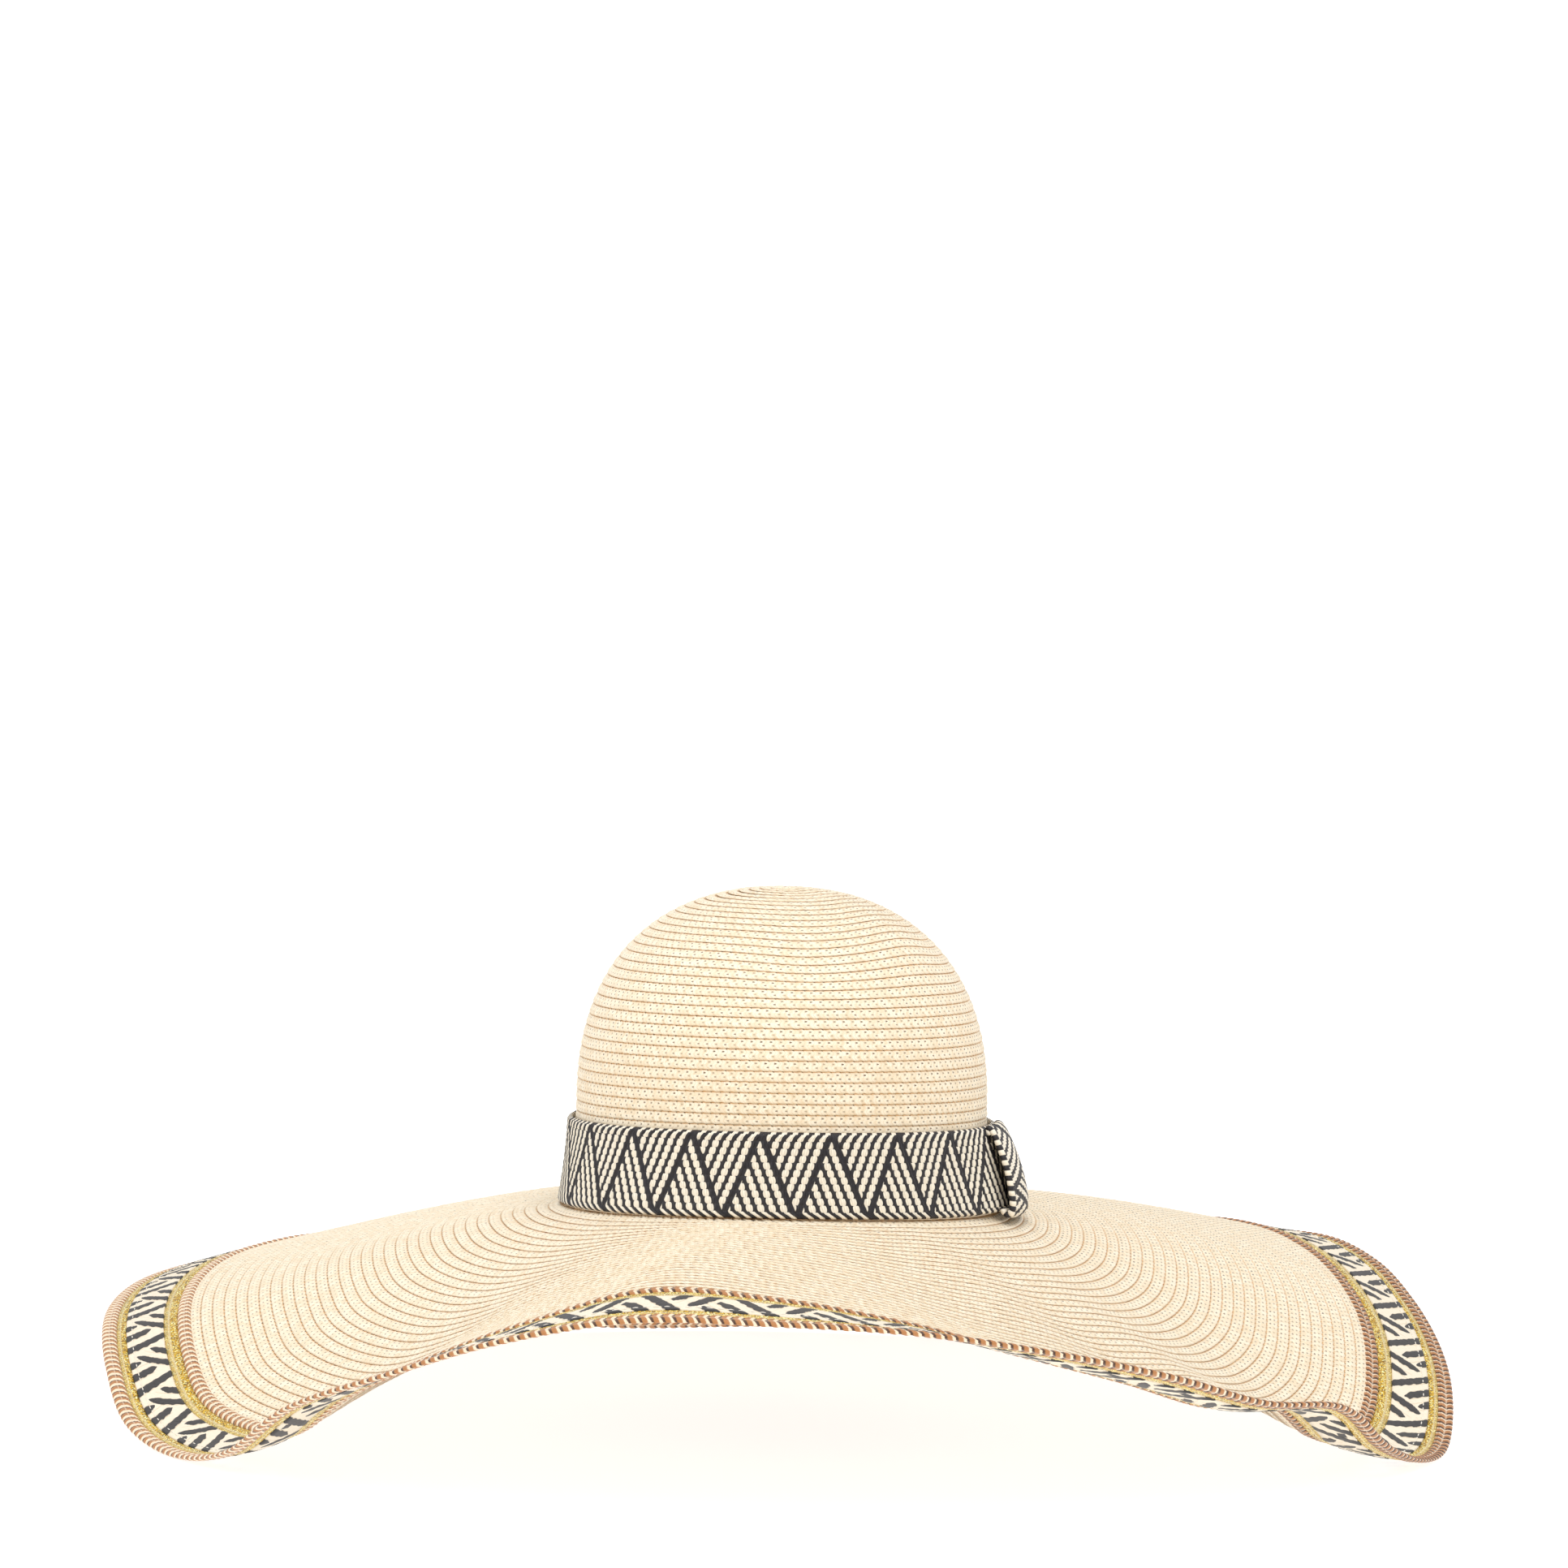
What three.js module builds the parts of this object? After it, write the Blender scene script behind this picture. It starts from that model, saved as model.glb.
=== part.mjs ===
// A floppy sun hat of sewn straw braid with a very wide brim, in millimetres, +Z up.
// The hat lies on its brim as on a table. +X is to the wearer's left, -Y is the front.
// The brim hangs in three lobes, left front, right front and back, and it rests on these.

import * as THREE from "three";

// Crown: a straight wall that flares at its foot, under a dome
const FOOT_HALF_WIDTH = 90.7;
const WALL_HALF_WIDTH = 86.5;
const DEPTH_RATIO = 1.162;
const WALL_HEIGHT = 45;
const CROWN_HEIGHT = 134.6;
const DOME_POWER = 2.28;
const CROWN_WALL = 2.0;
const TIP_FLAT_RADIUS = 12;
const CROWN_FOOT = -1;

// The foot of the crown is not flat: front and back stand higher than the sides
const FOOT_WAVE = 3;

// Dents of the soft dome: where, how far they spread in degrees and up the dome, and how far
// they lift its rows
const DENTS = [
  { azimuth: -38, height: 113, spread: 17, tall: 15, lift: 2.2 },
  { azimuth: -82, height: 108, spread: 20, tall: 14, lift: -1.6 },
  { azimuth: 150, height: 100, spread: 24, tall: 18, lift: 1.4 },
];

// Brim: rows of straw braid, then five trimming braids out to the edge
const STRAW_WIDTH = 171;
const TRIMS = [
  { name: "inner_tan_braid", width: 6.0, thick: 2.4, stations: 2, color: 0xc79a78, rough: 0.55 },
  { name: "inner_gold_braid", width: 6.3, thick: 1.8, stations: 2, color: 0xc9ad3a, rough: 0.35 },
  { name: "zigzag_braid", width: 16.4, thick: 1.8, stations: 3, color: 0x9b927f, rough: 0.6 },
  { name: "outer_gold_braid", width: 4.3, thick: 1.8, stations: 2, color: 0xc9ad3a, rough: 0.35 },
  { name: "outer_tan_braid", width: 6.5, thick: 2.6, stations: 2, color: 0xc79a78, rough: 0.55 },
];
const BRIM_WALL = 2.0;
const GAP = 0.3;
// The brim's inner edge stands upright against the crown and turns square to the brim from there
const FOOT_GAP = 0.45;
const FOOT_EDGE = 8;
const BRIM_WIDTH = STRAW_WIDTH + TRIMS.reduce((sum, trim) => sum + trim.width, 0);

// Band round the foot of the crown. Its ends overlap at the side, where it swells
const BAND_HEIGHTS = [1.4, 7, 18, 30, 37.4];
const BAND_THICK = 1.6;
const BAND_GAP = 0.5;
const SWELL = 5;
const SWELL_AZIMUTH = -9;
const SWELL_SPREAD = 16;
const SWELL_TOP = 40;

// Loop that hides the band's ends. Its outer face stands off the band by so much at each height
const LOOP_FROM = -18;
const LOOP_TO = 0;
const LOOP_FACE = [
  { height: 1.4, out: 4.2 },
  { height: 7, out: 7.4 },
  { height: 18, out: 7.4 },
  { height: 30, out: 4.8 },
  { height: 37.4, out: 1.8 },
];

// Sections of the brim. A row gives the azimuth in degrees from +X, with the front at -90, the
// brim's reach as a share of its full width, and its slope below the level at the foot,
// at one third and two thirds of the straw, near the end of the straw and at the edge.
const SECTION_AT = [0, 55, 110, 166, BRIM_WIDTH];
const SECTIONS = [
  { azimuth: -180, reach: 0.95, slopes: [10, 17, 23, 16, 4] },
  { azimuth: -170, reach: 0.97, slopes: [12, 21, 29, 21, -2] },
  { azimuth: -160, reach: 1.0, slopes: [15, 25, 32, 29, 6] },
  { azimuth: -150, reach: 1.0, slopes: [17, 28, 34, 31, 10] },
  { azimuth: -140, reach: 1.0, slopes: [17, 28, 34, 29, -2] },
  { azimuth: -130, reach: 1.0, slopes: [13, 24, 29, 12, 1] },
  { azimuth: -120, reach: 1.0, slopes: [8, 16, 20, 12, 5] },
  { azimuth: -110, reach: 1.0, slopes: [4, 8, 12, 11, 7] },
  { azimuth: -100, reach: 1.0, slopes: [1, 3, 5, 8, 19] },
  { azimuth: -90, reach: 1.0, slopes: [3, 5, 6, 6, 13] },
  { azimuth: -80, reach: 1.0, slopes: [6, 9, 10, 6, -3] },
  { azimuth: -70, reach: 1.0, slopes: [10, 14, 16, 7, -16] },
  { azimuth: -60, reach: 1.0, slopes: [12, 19, 21, 10, -21] },
  { azimuth: -50, reach: 1.0, slopes: [17, 24, 26, 11, -19] },
  { azimuth: -40, reach: 1.0, slopes: [20, 26, 26, 10, -12] },
  { azimuth: -30, reach: 1.0, slopes: [22, 29, 31, 23, -10] },
  { azimuth: -20, reach: 1.01, slopes: [22, 29, 33, 28, 0] },
  { azimuth: -10, reach: 1.01, slopes: [18, 26, 30, 30, 12] },
  { azimuth: 0, reach: 0.98, slopes: [12, 20, 26, 26, 12] },
  { azimuth: 10, reach: 0.96, slopes: [7, 14, 20, 23, 16] },
  { azimuth: 20, reach: 0.95, slopes: [4, 9, 15, 19, 14] },
  { azimuth: 30, reach: 0.96, slopes: [2, 7, 11, 14, 8] },
  { azimuth: 40, reach: 0.98, slopes: [2, 5, 9, 11, 8] },
  { azimuth: 50, reach: 1.0, slopes: [1, 5, 9, 14, 18] },
  { azimuth: 60, reach: 1.0, slopes: [2, 6, 13, 30, 36] },
  { azimuth: 72, reach: 1.0, slopes: [4, 11, 24, 39, 38] },
  { azimuth: 90, reach: 1.0, slopes: [5, 15, 27, 35, 30] },
  { azimuth: 108, reach: 1.0, slopes: [4, 11, 24, 39, 38] },
  { azimuth: 120, reach: 1.0, slopes: [3, 8, 15, 29, 34] },
  { azimuth: 135, reach: 0.99, slopes: [4, 9, 13, 17, 18] },
  { azimuth: 150, reach: 0.97, slopes: [6, 11, 14, 13, 20] },
  { azimuth: 165, reach: 0.95, slopes: [8, 14, 17, 12, 15] },
];

// The hat leans a little as it lies on its three lobes
const LEAN_BACK = 2.0;
const LEAN_SIDE = -0.2;

// Facets
const CROWN_SIDES = 60;
const BRIM_SIDES = 72;
const WALL_RINGS = [0, 7, 18, 30, 37.4, 45];
const DOME_RINGS = 8;
const STRAW_STATIONS = 8;
const LOOP_SIDES = 3;
const SLOPE_STEPS = 120;

const radians = THREE.MathUtils.degToRad;

function foldAngle(degrees) {
  return ((((degrees + 180) % 360) + 360) % 360) - 180;
}

// How far the band swells where its ends overlap: fullest at its foot, nothing over its top
function swellAt(azimuth, height) {
  const spread = foldAngle(azimuth - SWELL_AZIMUTH) / SWELL_SPREAD;
  const fade = 1 - Math.min(height / SWELL_TOP, 1) ** 2;
  return SWELL * Math.exp(-spread * spread) * fade;
}

// Height of the crown's foot at an azimuth
function footAt(azimuth) {
  return FOOT_WAVE * Math.sin(radians(azimuth)) ** 2;
}

// Lift of the dome's rows by its dents
function dentAt(azimuth, height) {
  let lift = 0;
  for (const dent of DENTS) {
    const across = foldAngle(azimuth - dent.azimuth) / dent.spread;
    const along = (height - dent.height) / dent.tall;
    lift += dent.lift * Math.exp(-across * across - along * along);
  }
  return lift;
}

// Half width of the wall at a height, easing out to the foot
function wallHalfWidth(height) {
  const share = 1 - Math.min(height / WALL_HEIGHT, 1);
  return WALL_HALF_WIDTH + (FOOT_HALF_WIDTH - WALL_HALF_WIDTH) * share * share;
}

// A point of the crown with half width w at a height, pushed out by a distance
function crownPoint(azimuth, height, halfWidth, out = 0) {
  const turn = radians(azimuth);
  const w = halfWidth + out;
  const lift = footAt(azimuth) * Math.min(Math.max(1 - height / CROWN_HEIGHT, 0), 1);
  const z = height + lift + dentAt(azimuth, height);
  return new THREE.Vector3(w * Math.cos(turn), w * DEPTH_RATIO * Math.sin(turn), z);
}

// A body round the hat from rings of points. The last ring joins the first, or else the first
// is filled as a flat disc and the last is drawn together in a tip
function closedBody(rings, tip = null) {
  const sides = rings[0].length;
  const positions = rings.flat().flatMap((p) => [p.x, p.y, p.z]);
  const triangles = [];
  const at = (ring, side) => ring * sides + (side % sides);
  const last = tip ? rings.length - 1 : rings.length;
  for (let ring = 0; ring < last; ring += 1) {
    const next = (ring + 1) % rings.length;
    for (let side = 0; side < sides; side += 1) {
      const a = at(ring, side);
      const b = at(ring, side + 1);
      const c = at(next, side + 1);
      const d = at(next, side);
      triangles.push(a, b, c, a, c, d);
    }
  }
  if (tip) {
    const pole = positions.length / 3;
    positions.push(tip.x, tip.y, tip.z);
    for (let side = 0; side < sides; side += 1) {
      triangles.push(at(last, side), at(last, side + 1), pole);
    }
    fillDisc(0, sides, (side) => at(0, side), triangles);
  }
  return makeGeometry(positions, triangles);
}

// Fills a flat ring of points with one large triangle and ever smaller ones round it
function fillDisc(from, to, vertex, triangles) {
  const third = Math.floor((to - from) / 3);
  const corners = [from, from + third, from + 2 * third, to];
  triangles.push(vertex(corners[0]), vertex(corners[2]), vertex(corners[1]));
  for (let k = 0; k < 3; k += 1) {
    fillArc(corners[k], corners[k + 1], vertex, triangles);
  }
}

function fillArc(from, to, vertex, triangles) {
  if (to - from < 2) return;
  const middle = Math.floor((from + to) / 2);
  triangles.push(vertex(from), vertex(to), vertex(middle));
  fillArc(from, middle, vertex, triangles);
  fillArc(middle, to, vertex, triangles);
}

function makeGeometry(positions, triangles) {
  const geometry = new THREE.BufferGeometry();
  geometry.setAttribute("position", new THREE.Float32BufferAttribute(positions, 3));
  geometry.setIndex(triangles);
  geometry.computeVertexNormals();
  return geometry;
}

function ringAt(sides, place) {
  return Array.from({ length: sides }, (_, k) => place((360 * k) / sides - 180));
}

// The crown's shell: down the inside from the flat of the tip, and up the outside to the tip
function crownShell() {
  const innerTop = CROWN_HEIGHT - CROWN_WALL;
  const dome = (halfWidth, top, share) => {
    const turn = (share * Math.PI) / 2;
    const w = halfWidth * Math.cos(turn) ** (2 / DOME_POWER);
    const height = WALL_HEIGHT + (top - WALL_HEIGHT) * Math.sin(turn) ** (2 / DOME_POWER);
    return [height, w];
  };
  const rings = [];
  const add = (height, halfWidth) => {
    rings.push(ringAt(CROWN_SIDES, (azimuth) => crownPoint(azimuth, height, halfWidth)));
  };
  rings.push(ringAt(CROWN_SIDES, (azimuth) => flatTipPoint(azimuth)));
  for (let k = DOME_RINGS - 1; k >= 1; k -= 1) {
    add(...dome(WALL_HALF_WIDTH - CROWN_WALL, innerTop, k / DOME_RINGS));
  }
  for (const height of [...WALL_RINGS].reverse()) {
    add(height === 0 ? CROWN_FOOT : height, wallHalfWidth(height) - CROWN_WALL);
  }
  for (const height of WALL_RINGS) {
    add(height === 0 ? CROWN_FOOT : height, wallHalfWidth(height));
  }
  for (let k = 1; k < DOME_RINGS; k += 1) {
    add(...dome(WALL_HALF_WIDTH, CROWN_HEIGHT, k / DOME_RINGS));
  }
  const tip = new THREE.Vector3(0, 0, CROWN_HEIGHT);
  return closedBody(rings, tip);
}

function flatTipPoint(azimuth) {
  const turn = radians(azimuth);
  const z = CROWN_HEIGHT - CROWN_WALL;
  return new THREE.Vector3(TIP_FLAT_RADIUS * Math.cos(turn), TIP_FLAT_RADIUS * Math.sin(turn), z);
}

// Smooth periodic curve through the sections: cubic pieces whose tangent at a row is the
// slope between its two neighbours
function sectionAt(azimuth) {
  const count = SECTIONS.length;
  const row = (k) => {
    const wrapped = ((k % count) + count) % count;
    const turns = Math.floor(k / count);
    const section = SECTIONS[wrapped];
    return { at: section.azimuth + 360 * turns, values: [section.reach, ...section.slopes] };
  };
  const angle = foldAngle(azimuth);
  let k = 0;
  while (k < count - 1 && SECTIONS[k + 1].azimuth <= angle) k += 1;
  const [before, from, to, after] = [row(k - 1), row(k), row(k + 1), row(k + 2)];
  const span = to.at - from.at;
  const u = (angle - from.at) / span;
  const values = from.values.map((value, c) => {
    const tangentFrom = (to.values[c] - before.values[c]) / (to.at - before.at);
    const tangentTo = (after.values[c] - value) / (after.at - from.at);
    return (
      (2 * u ** 3 - 3 * u ** 2 + 1) * value +
      (u ** 3 - 2 * u ** 2 + u) * span * tangentFrom +
      (3 * u ** 2 - 2 * u ** 3) * to.values[c] +
      (u ** 3 - u ** 2) * span * tangentTo
    );
  });
  return { reach: values[0], slopes: values.slice(1) };
}

function slopeAt(slopes, s) {
  let k = 0;
  while (k < SECTION_AT.length - 2 && SECTION_AT[k + 1] <= s) k += 1;
  const share = (s - SECTION_AT[k]) / (SECTION_AT[k + 1] - SECTION_AT[k]);
  return radians(slopes[k] + (slopes[k + 1] - slopes[k]) * share);
}

// The brim's middle surface at one azimuth: a function of the distance s along the brim and
// the offset across its wall. The slope is summed along s from the crown's foot.
function brimSection(azimuth) {
  const { reach, slopes } = sectionAt(azimuth);
  const turn = radians(azimuth);
  const foot = crownPoint(azimuth, 0, FOOT_HALF_WIDTH);
  const outward = new THREE.Vector3(DEPTH_RATIO * Math.cos(turn), Math.sin(turn), 0).normalize();
  const step = BRIM_WIDTH / SLOPE_STEPS;
  const run = [0];
  const drop = [0];
  for (let k = 1; k <= SLOPE_STEPS; k += 1) {
    const slope = slopeAt(slopes, (k - 0.5) * step);
    run.push(run[k - 1] + Math.cos(slope) * step * reach);
    drop.push(drop[k - 1] + Math.sin(slope) * step * reach);
  }
  return (s, offset) => {
    const place = Math.min(s / step, SLOPE_STEPS - 1e-9);
    const k = Math.floor(place);
    const share = place - k;
    const across = slopeAt(slopes, s) * Math.min(s / FOOT_EDGE, 1);
    const along = run[k] + (run[k + 1] - run[k]) * share + offset * Math.sin(across);
    const down = drop[k] + (drop[k + 1] - drop[k]) * share - offset * Math.cos(across);
    return foot.clone().addScaledVector(outward, along).add(new THREE.Vector3(0, 0, -down));
  };
}

// A ring of the brim from s = from to s = to, as thick as said, with some stations across
function brimRing(from, to, thick, stations) {
  const sections = ringAt(BRIM_SIDES, brimSection);
  const across = Array.from({ length: stations }, (_, k) => from + ((to - from) * k) / (stations - 1));
  const below = across.map((s) => sections.map((section) => section(s, -thick / 2)));
  const above = [...across].reverse().map((s) => sections.map((section) => section(s, thick / 2)));
  return closedBody([...below, ...above]);
}

// A point off the crown's wall by so much, with the band's swelling or without
function wallPoint(azimuth, height, out, swollen) {
  const swell = swollen ? swellAt(azimuth, height) : 0;
  return crownPoint(azimuth, height, wallHalfWidth(height), out + swell);
}

// The band's ring: down the inside and up the outside
function bandRing() {
  const ring = (height, out, swollen) =>
    ringAt(CROWN_SIDES, (azimuth) => wallPoint(azimuth, height, out, swollen));
  const inner = [...BAND_HEIGHTS].reverse().map((height) => ring(height, BAND_GAP, false));
  const outer = BAND_HEIGHTS.map((height) => ring(height, BAND_GAP + BAND_THICK, true));
  return closedBody([...inner, ...outer]);
}

// The loop over the band: an arched face, closed at both ends, lying on the band behind
function bandLoop() {
  const behind = BAND_GAP + BAND_THICK + GAP;
  const columns = [];
  for (let k = 0; k <= LOOP_SIDES; k += 1) {
    const azimuth = LOOP_FROM + ((LOOP_TO - LOOP_FROM) * k) / LOOP_SIDES;
    const face = LOOP_FACE.map(({ height, out }) => wallPoint(azimuth, height, behind + out, true));
    const back = [...LOOP_FACE].reverse().map(({ height }) => wallPoint(azimuth, height, behind, true));
    columns.push([...face, ...back]);
  }
  const count = columns[0].length;
  const positions = columns.flat().flatMap((p) => [p.x, p.y, p.z]);
  const triangles = [];
  for (let k = 0; k < LOOP_SIDES; k += 1) {
    for (let j = 0; j < count; j += 1) {
      const next = (j + 1) % count;
      const [a, b] = [k * count + j, (k + 1) * count + j];
      const [c, d] = [(k + 1) * count + next, k * count + next];
      triangles.push(a, b, c, a, c, d);
    }
  }
  const rows = LOOP_FACE.length;
  const end = LOOP_SIDES * count;
  for (let j = 0; j < rows - 1; j += 1) {
    const back = count - 1 - j;
    triangles.push(j, j + 1, back - 1, j, back - 1, back);
    triangles.push(end + j, end + back - 1, end + j + 1, end + j, end + back, end + back - 1);
  }
  return makeGeometry(positions, triangles);
}

function makeMesh(name, geometry, look) {
  const material = new THREE.MeshStandardMaterial({ color: look.color, roughness: look.rough });
  const mesh = new THREE.Mesh(geometry, material);
  mesh.name = name;
  return mesh;
}

const STRAW = { color: 0xf0dfb8, rough: 0.7 };
const BAND = { color: 0x8d8478, rough: 0.6 };
const strawBrim = brimRing(FOOT_GAP, STRAW_WIDTH - GAP / 2, BRIM_WALL, STRAW_STATIONS);
const hat = new THREE.Group();
hat.add(makeMesh("crown", crownShell(), STRAW));
hat.add(makeMesh("brim", strawBrim, STRAW));
hat.add(makeMesh("hat_band", bandRing(), BAND));
hat.add(makeMesh("band_loop", bandLoop(), BAND));

let trimStart = STRAW_WIDTH;
for (const trim of TRIMS) {
  const from = trimStart + GAP / 2;
  const to = trimStart + trim.width - GAP / 2;
  hat.add(makeMesh(trim.name, brimRing(from, to, trim.thick, trim.stations), trim));
  trimStart += trim.width;
}
hat.rotation.set(radians(-LEAN_BACK), radians(LEAN_SIDE), 0);

// The origin lies under the middle of the hat's box, on the surface that it rests on
const placed = new THREE.Group();
placed.add(hat);
placed.updateMatrixWorld(true);
const box = new THREE.Box3().setFromObject(placed, true);
hat.position.set(-(box.min.x + box.max.x) / 2, -(box.min.y + box.max.y) / 2, -box.min.z);

export default placed;
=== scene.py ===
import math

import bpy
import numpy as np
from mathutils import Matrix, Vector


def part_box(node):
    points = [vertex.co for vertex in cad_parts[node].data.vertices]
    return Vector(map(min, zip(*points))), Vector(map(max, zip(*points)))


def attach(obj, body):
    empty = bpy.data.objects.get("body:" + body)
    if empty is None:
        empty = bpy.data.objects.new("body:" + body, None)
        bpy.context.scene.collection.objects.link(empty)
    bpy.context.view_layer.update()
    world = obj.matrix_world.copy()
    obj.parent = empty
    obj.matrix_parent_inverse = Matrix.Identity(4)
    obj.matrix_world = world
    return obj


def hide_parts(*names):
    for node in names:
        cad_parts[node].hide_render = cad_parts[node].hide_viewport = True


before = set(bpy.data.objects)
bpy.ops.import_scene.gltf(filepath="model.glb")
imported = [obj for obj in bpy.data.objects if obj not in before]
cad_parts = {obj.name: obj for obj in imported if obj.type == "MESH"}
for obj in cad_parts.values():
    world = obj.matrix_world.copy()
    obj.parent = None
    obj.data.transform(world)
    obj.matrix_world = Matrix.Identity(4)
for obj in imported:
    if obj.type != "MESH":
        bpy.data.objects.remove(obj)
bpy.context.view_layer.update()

# A floppy sun hat: one long straw braid sewn in a spiral, a woven band with a zigzag round the
# foot of the crown, and five trimming braids round the edge. Shapes are worked out in
# millimetres in the hat's own frame, whose origin is at the foot of the crown, and are then
# leaned and set down where the frame's nodes are.

rng = np.random.default_rng(11)
# Millimetres in a metre
MM = 1000.0

# Crown, as in the frame
FOOT_HALF_WIDTH = 90.7
WALL_HALF_WIDTH = 86.5
DEPTH_RATIO = 1.162
WALL_HEIGHT = 45.0
CROWN_HEIGHT = 134.6
DOME_POWER = 2.28
FOOT_WAVE = 3.0
WALL = 2.0
# Degrees between the corners of the frame's crown, and how deep under its foot it starts
CROWN_FACET = 6.0
CROWN_SINKS = 1.0
# Dents of the dome: azimuth, height, spread in degrees, spread up the dome, lift of its rows
DENTS = (
    (-38, 113, 17, 15, 2.2),
    (-82, 108, 20, 14, -1.6),
    (150, 100, 24, 18, 1.4),
)

# Brim, as in the frame: where the five slopes of a section are taken, and the trimming braids
SLOPES_AT = (0, 55, 110, 166, 210.5)
STRAW_EDGE = 171.0
INNER_TAN = (171.0, 177.0)
INNER_GOLD = (177.0, 183.3)
ZIGZAG = (183.3, 199.7)
OUTER_GOLD = (199.7, 204.0)
OUTER_TAN = (204.0, 210.5)
# Sections: azimuth, reach, and the slopes below the level in degrees
SECTIONS = (
    (-180, 0.95, 10, 17, 23, 16, 4),
    (-170, 0.97, 12, 21, 29, 21, -2),
    (-160, 1.00, 15, 25, 32, 29, 6),
    (-150, 1.00, 17, 28, 34, 31, 10),
    (-140, 1.00, 17, 28, 34, 29, -2),
    (-130, 1.00, 13, 24, 29, 12, 1),
    (-120, 1.00, 8, 16, 20, 12, 5),
    (-110, 1.00, 4, 8, 12, 11, 7),
    (-100, 1.00, 1, 3, 5, 8, 19),
    (-90, 1.00, 3, 5, 6, 6, 13),
    (-80, 1.00, 6, 9, 10, 6, -3),
    (-70, 1.00, 10, 14, 16, 7, -16),
    (-60, 1.00, 12, 19, 21, 10, -21),
    (-50, 1.00, 17, 24, 26, 11, -19),
    (-40, 1.00, 20, 26, 26, 10, -12),
    (-30, 1.00, 22, 29, 31, 23, -10),
    (-20, 1.01, 22, 29, 33, 28, 0),
    (-10, 1.01, 18, 26, 30, 30, 12),
    (0, 0.98, 12, 20, 26, 26, 12),
    (10, 0.96, 7, 14, 20, 23, 16),
    (20, 0.95, 4, 9, 15, 19, 14),
    (30, 0.96, 2, 7, 11, 14, 8),
    (40, 0.98, 2, 5, 9, 11, 8),
    (50, 1.00, 1, 5, 9, 14, 18),
    (60, 1.00, 2, 6, 13, 30, 36),
    (72, 1.00, 4, 11, 24, 39, 38),
    (90, 1.00, 5, 15, 27, 35, 30),
    (108, 1.00, 4, 11, 24, 39, 38),
    (120, 1.00, 3, 8, 15, 29, 34),
    (135, 0.99, 4, 9, 13, 17, 18),
    (150, 0.97, 6, 11, 14, 13, 20),
    (165, 0.95, 8, 14, 17, 12, 15),
)

# Band and loop, as in the frame
BAND_GAP = 0.5
BAND_THICK = 1.6
BAND_FROM = 1.4
BAND_TO = 37.4
SWELL = 5.0
SWELL_AZIMUTH = -9.0
SWELL_SPREAD = 16.0
SWELL_TOP = 40.0
LOOP_FROM = -18.0
LOOP_TO = 0.0
# Millimetres to a degree round the loop's edges
MM_PER_DEGREE = 1.8

# How the hat leans as it lies
LEAN_BACK = math.radians(2.0)
LEAN_SIDE = math.radians(-0.2)

# Camera of the photograph, with its frame of 1932 pixels
PHOTO_SIDE = 1932
PIXELS_PER_MM = 2.95
CAMERA_DISTANCE = 5.0
CAMERA_PITCH = math.radians(5.0)
CAMERA_ROLL = math.radians(1.2)
FOOT_PIXEL = (961, 1487)
SENSOR = 36.0

# Grid of the hat's wall: its steps, and how the fold at the crown's foot is rounded
GRID_STEP = 0.5
GRID_TURN = 0.5
DOME_STEPS = 400
WALL_STEPS = 200
JOIN = 2.5
FOLD_REACH = 8
FOLD_ROUNDS = 16


# Shape of the hat

def from_azimuth(azimuth, centre):
    """Degrees of azimuth from a centre, between -180 and 180."""
    return (azimuth - centre + 180) % 360 - 180


def sections_at(azimuth):
    """Reach and slopes at each azimuth: cubic pieces through the rows of the table, whose
    tangent at a row is the slope between its two neighbours."""
    rows = np.array(SECTIONS, float)
    at = np.concatenate([rows[-2:, 0] - 360, rows[:, 0], rows[:3, 0] + 360])
    values = np.concatenate([rows[-2:, 1:], rows[:, 1:], rows[:3, 1:]])
    angle = from_azimuth(azimuth, 0)
    k = np.clip(np.searchsorted(at, angle, side="right") - 1, 1, len(at) - 3)
    span = (at[k + 1] - at[k])[:, None]
    u = (angle - at[k])[:, None] / span
    leave = (values[k + 1] - values[k - 1]) / (at[k + 1] - at[k - 1])[:, None]
    arrive = (values[k + 2] - values[k]) / (at[k + 2] - at[k])[:, None]
    return (
        (2 * u**3 - 3 * u**2 + 1) * values[k]
        + (u**3 - 2 * u**2 + u) * span * leave
        + (3 * u**2 - 2 * u**3) * values[k + 1]
        + (u**3 - u**2) * span * arrive
    )


def foot_height(azimuth):
    """Height of the crown's foot: FOOT_WAVE times the squared sine of the azimuth."""
    return FOOT_WAVE * np.sin(np.radians(azimuth)) ** 2


def crown_points(azimuth, height, half_width):
    """Points of the crown: an ellipse of that half width, DEPTH_RATIO deeper than wide, at a
    height that rises with the wave of the foot and with the dome's dents, each a bell over
    azimuth and height."""
    turn = np.radians(azimuth)
    dent = 0.0
    for centre, level, spread, tall, lift in DENTS:
        away = (from_azimuth(azimuth, centre) / spread) ** 2 + ((height - level) / tall) ** 2
        dent = dent + lift * np.exp(-away)
    z = height + foot_height(azimuth) * np.clip(1 - height / CROWN_HEIGHT, 0, 1) + dent
    x = half_width * np.cos(turn)
    y = half_width * DEPTH_RATIO * np.sin(turn)
    return np.stack(np.broadcast_arrays(x, y, z), -1)


def wall_half_width(height):
    """Half width of the straight wall, easing out to the foot with the square of the depth."""
    share = 1 - np.clip(height / WALL_HEIGHT, 0, 1)
    return WALL_HALF_WIDTH + (FOOT_HALF_WIDTH - WALL_HALF_WIDTH) * share**2


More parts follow.
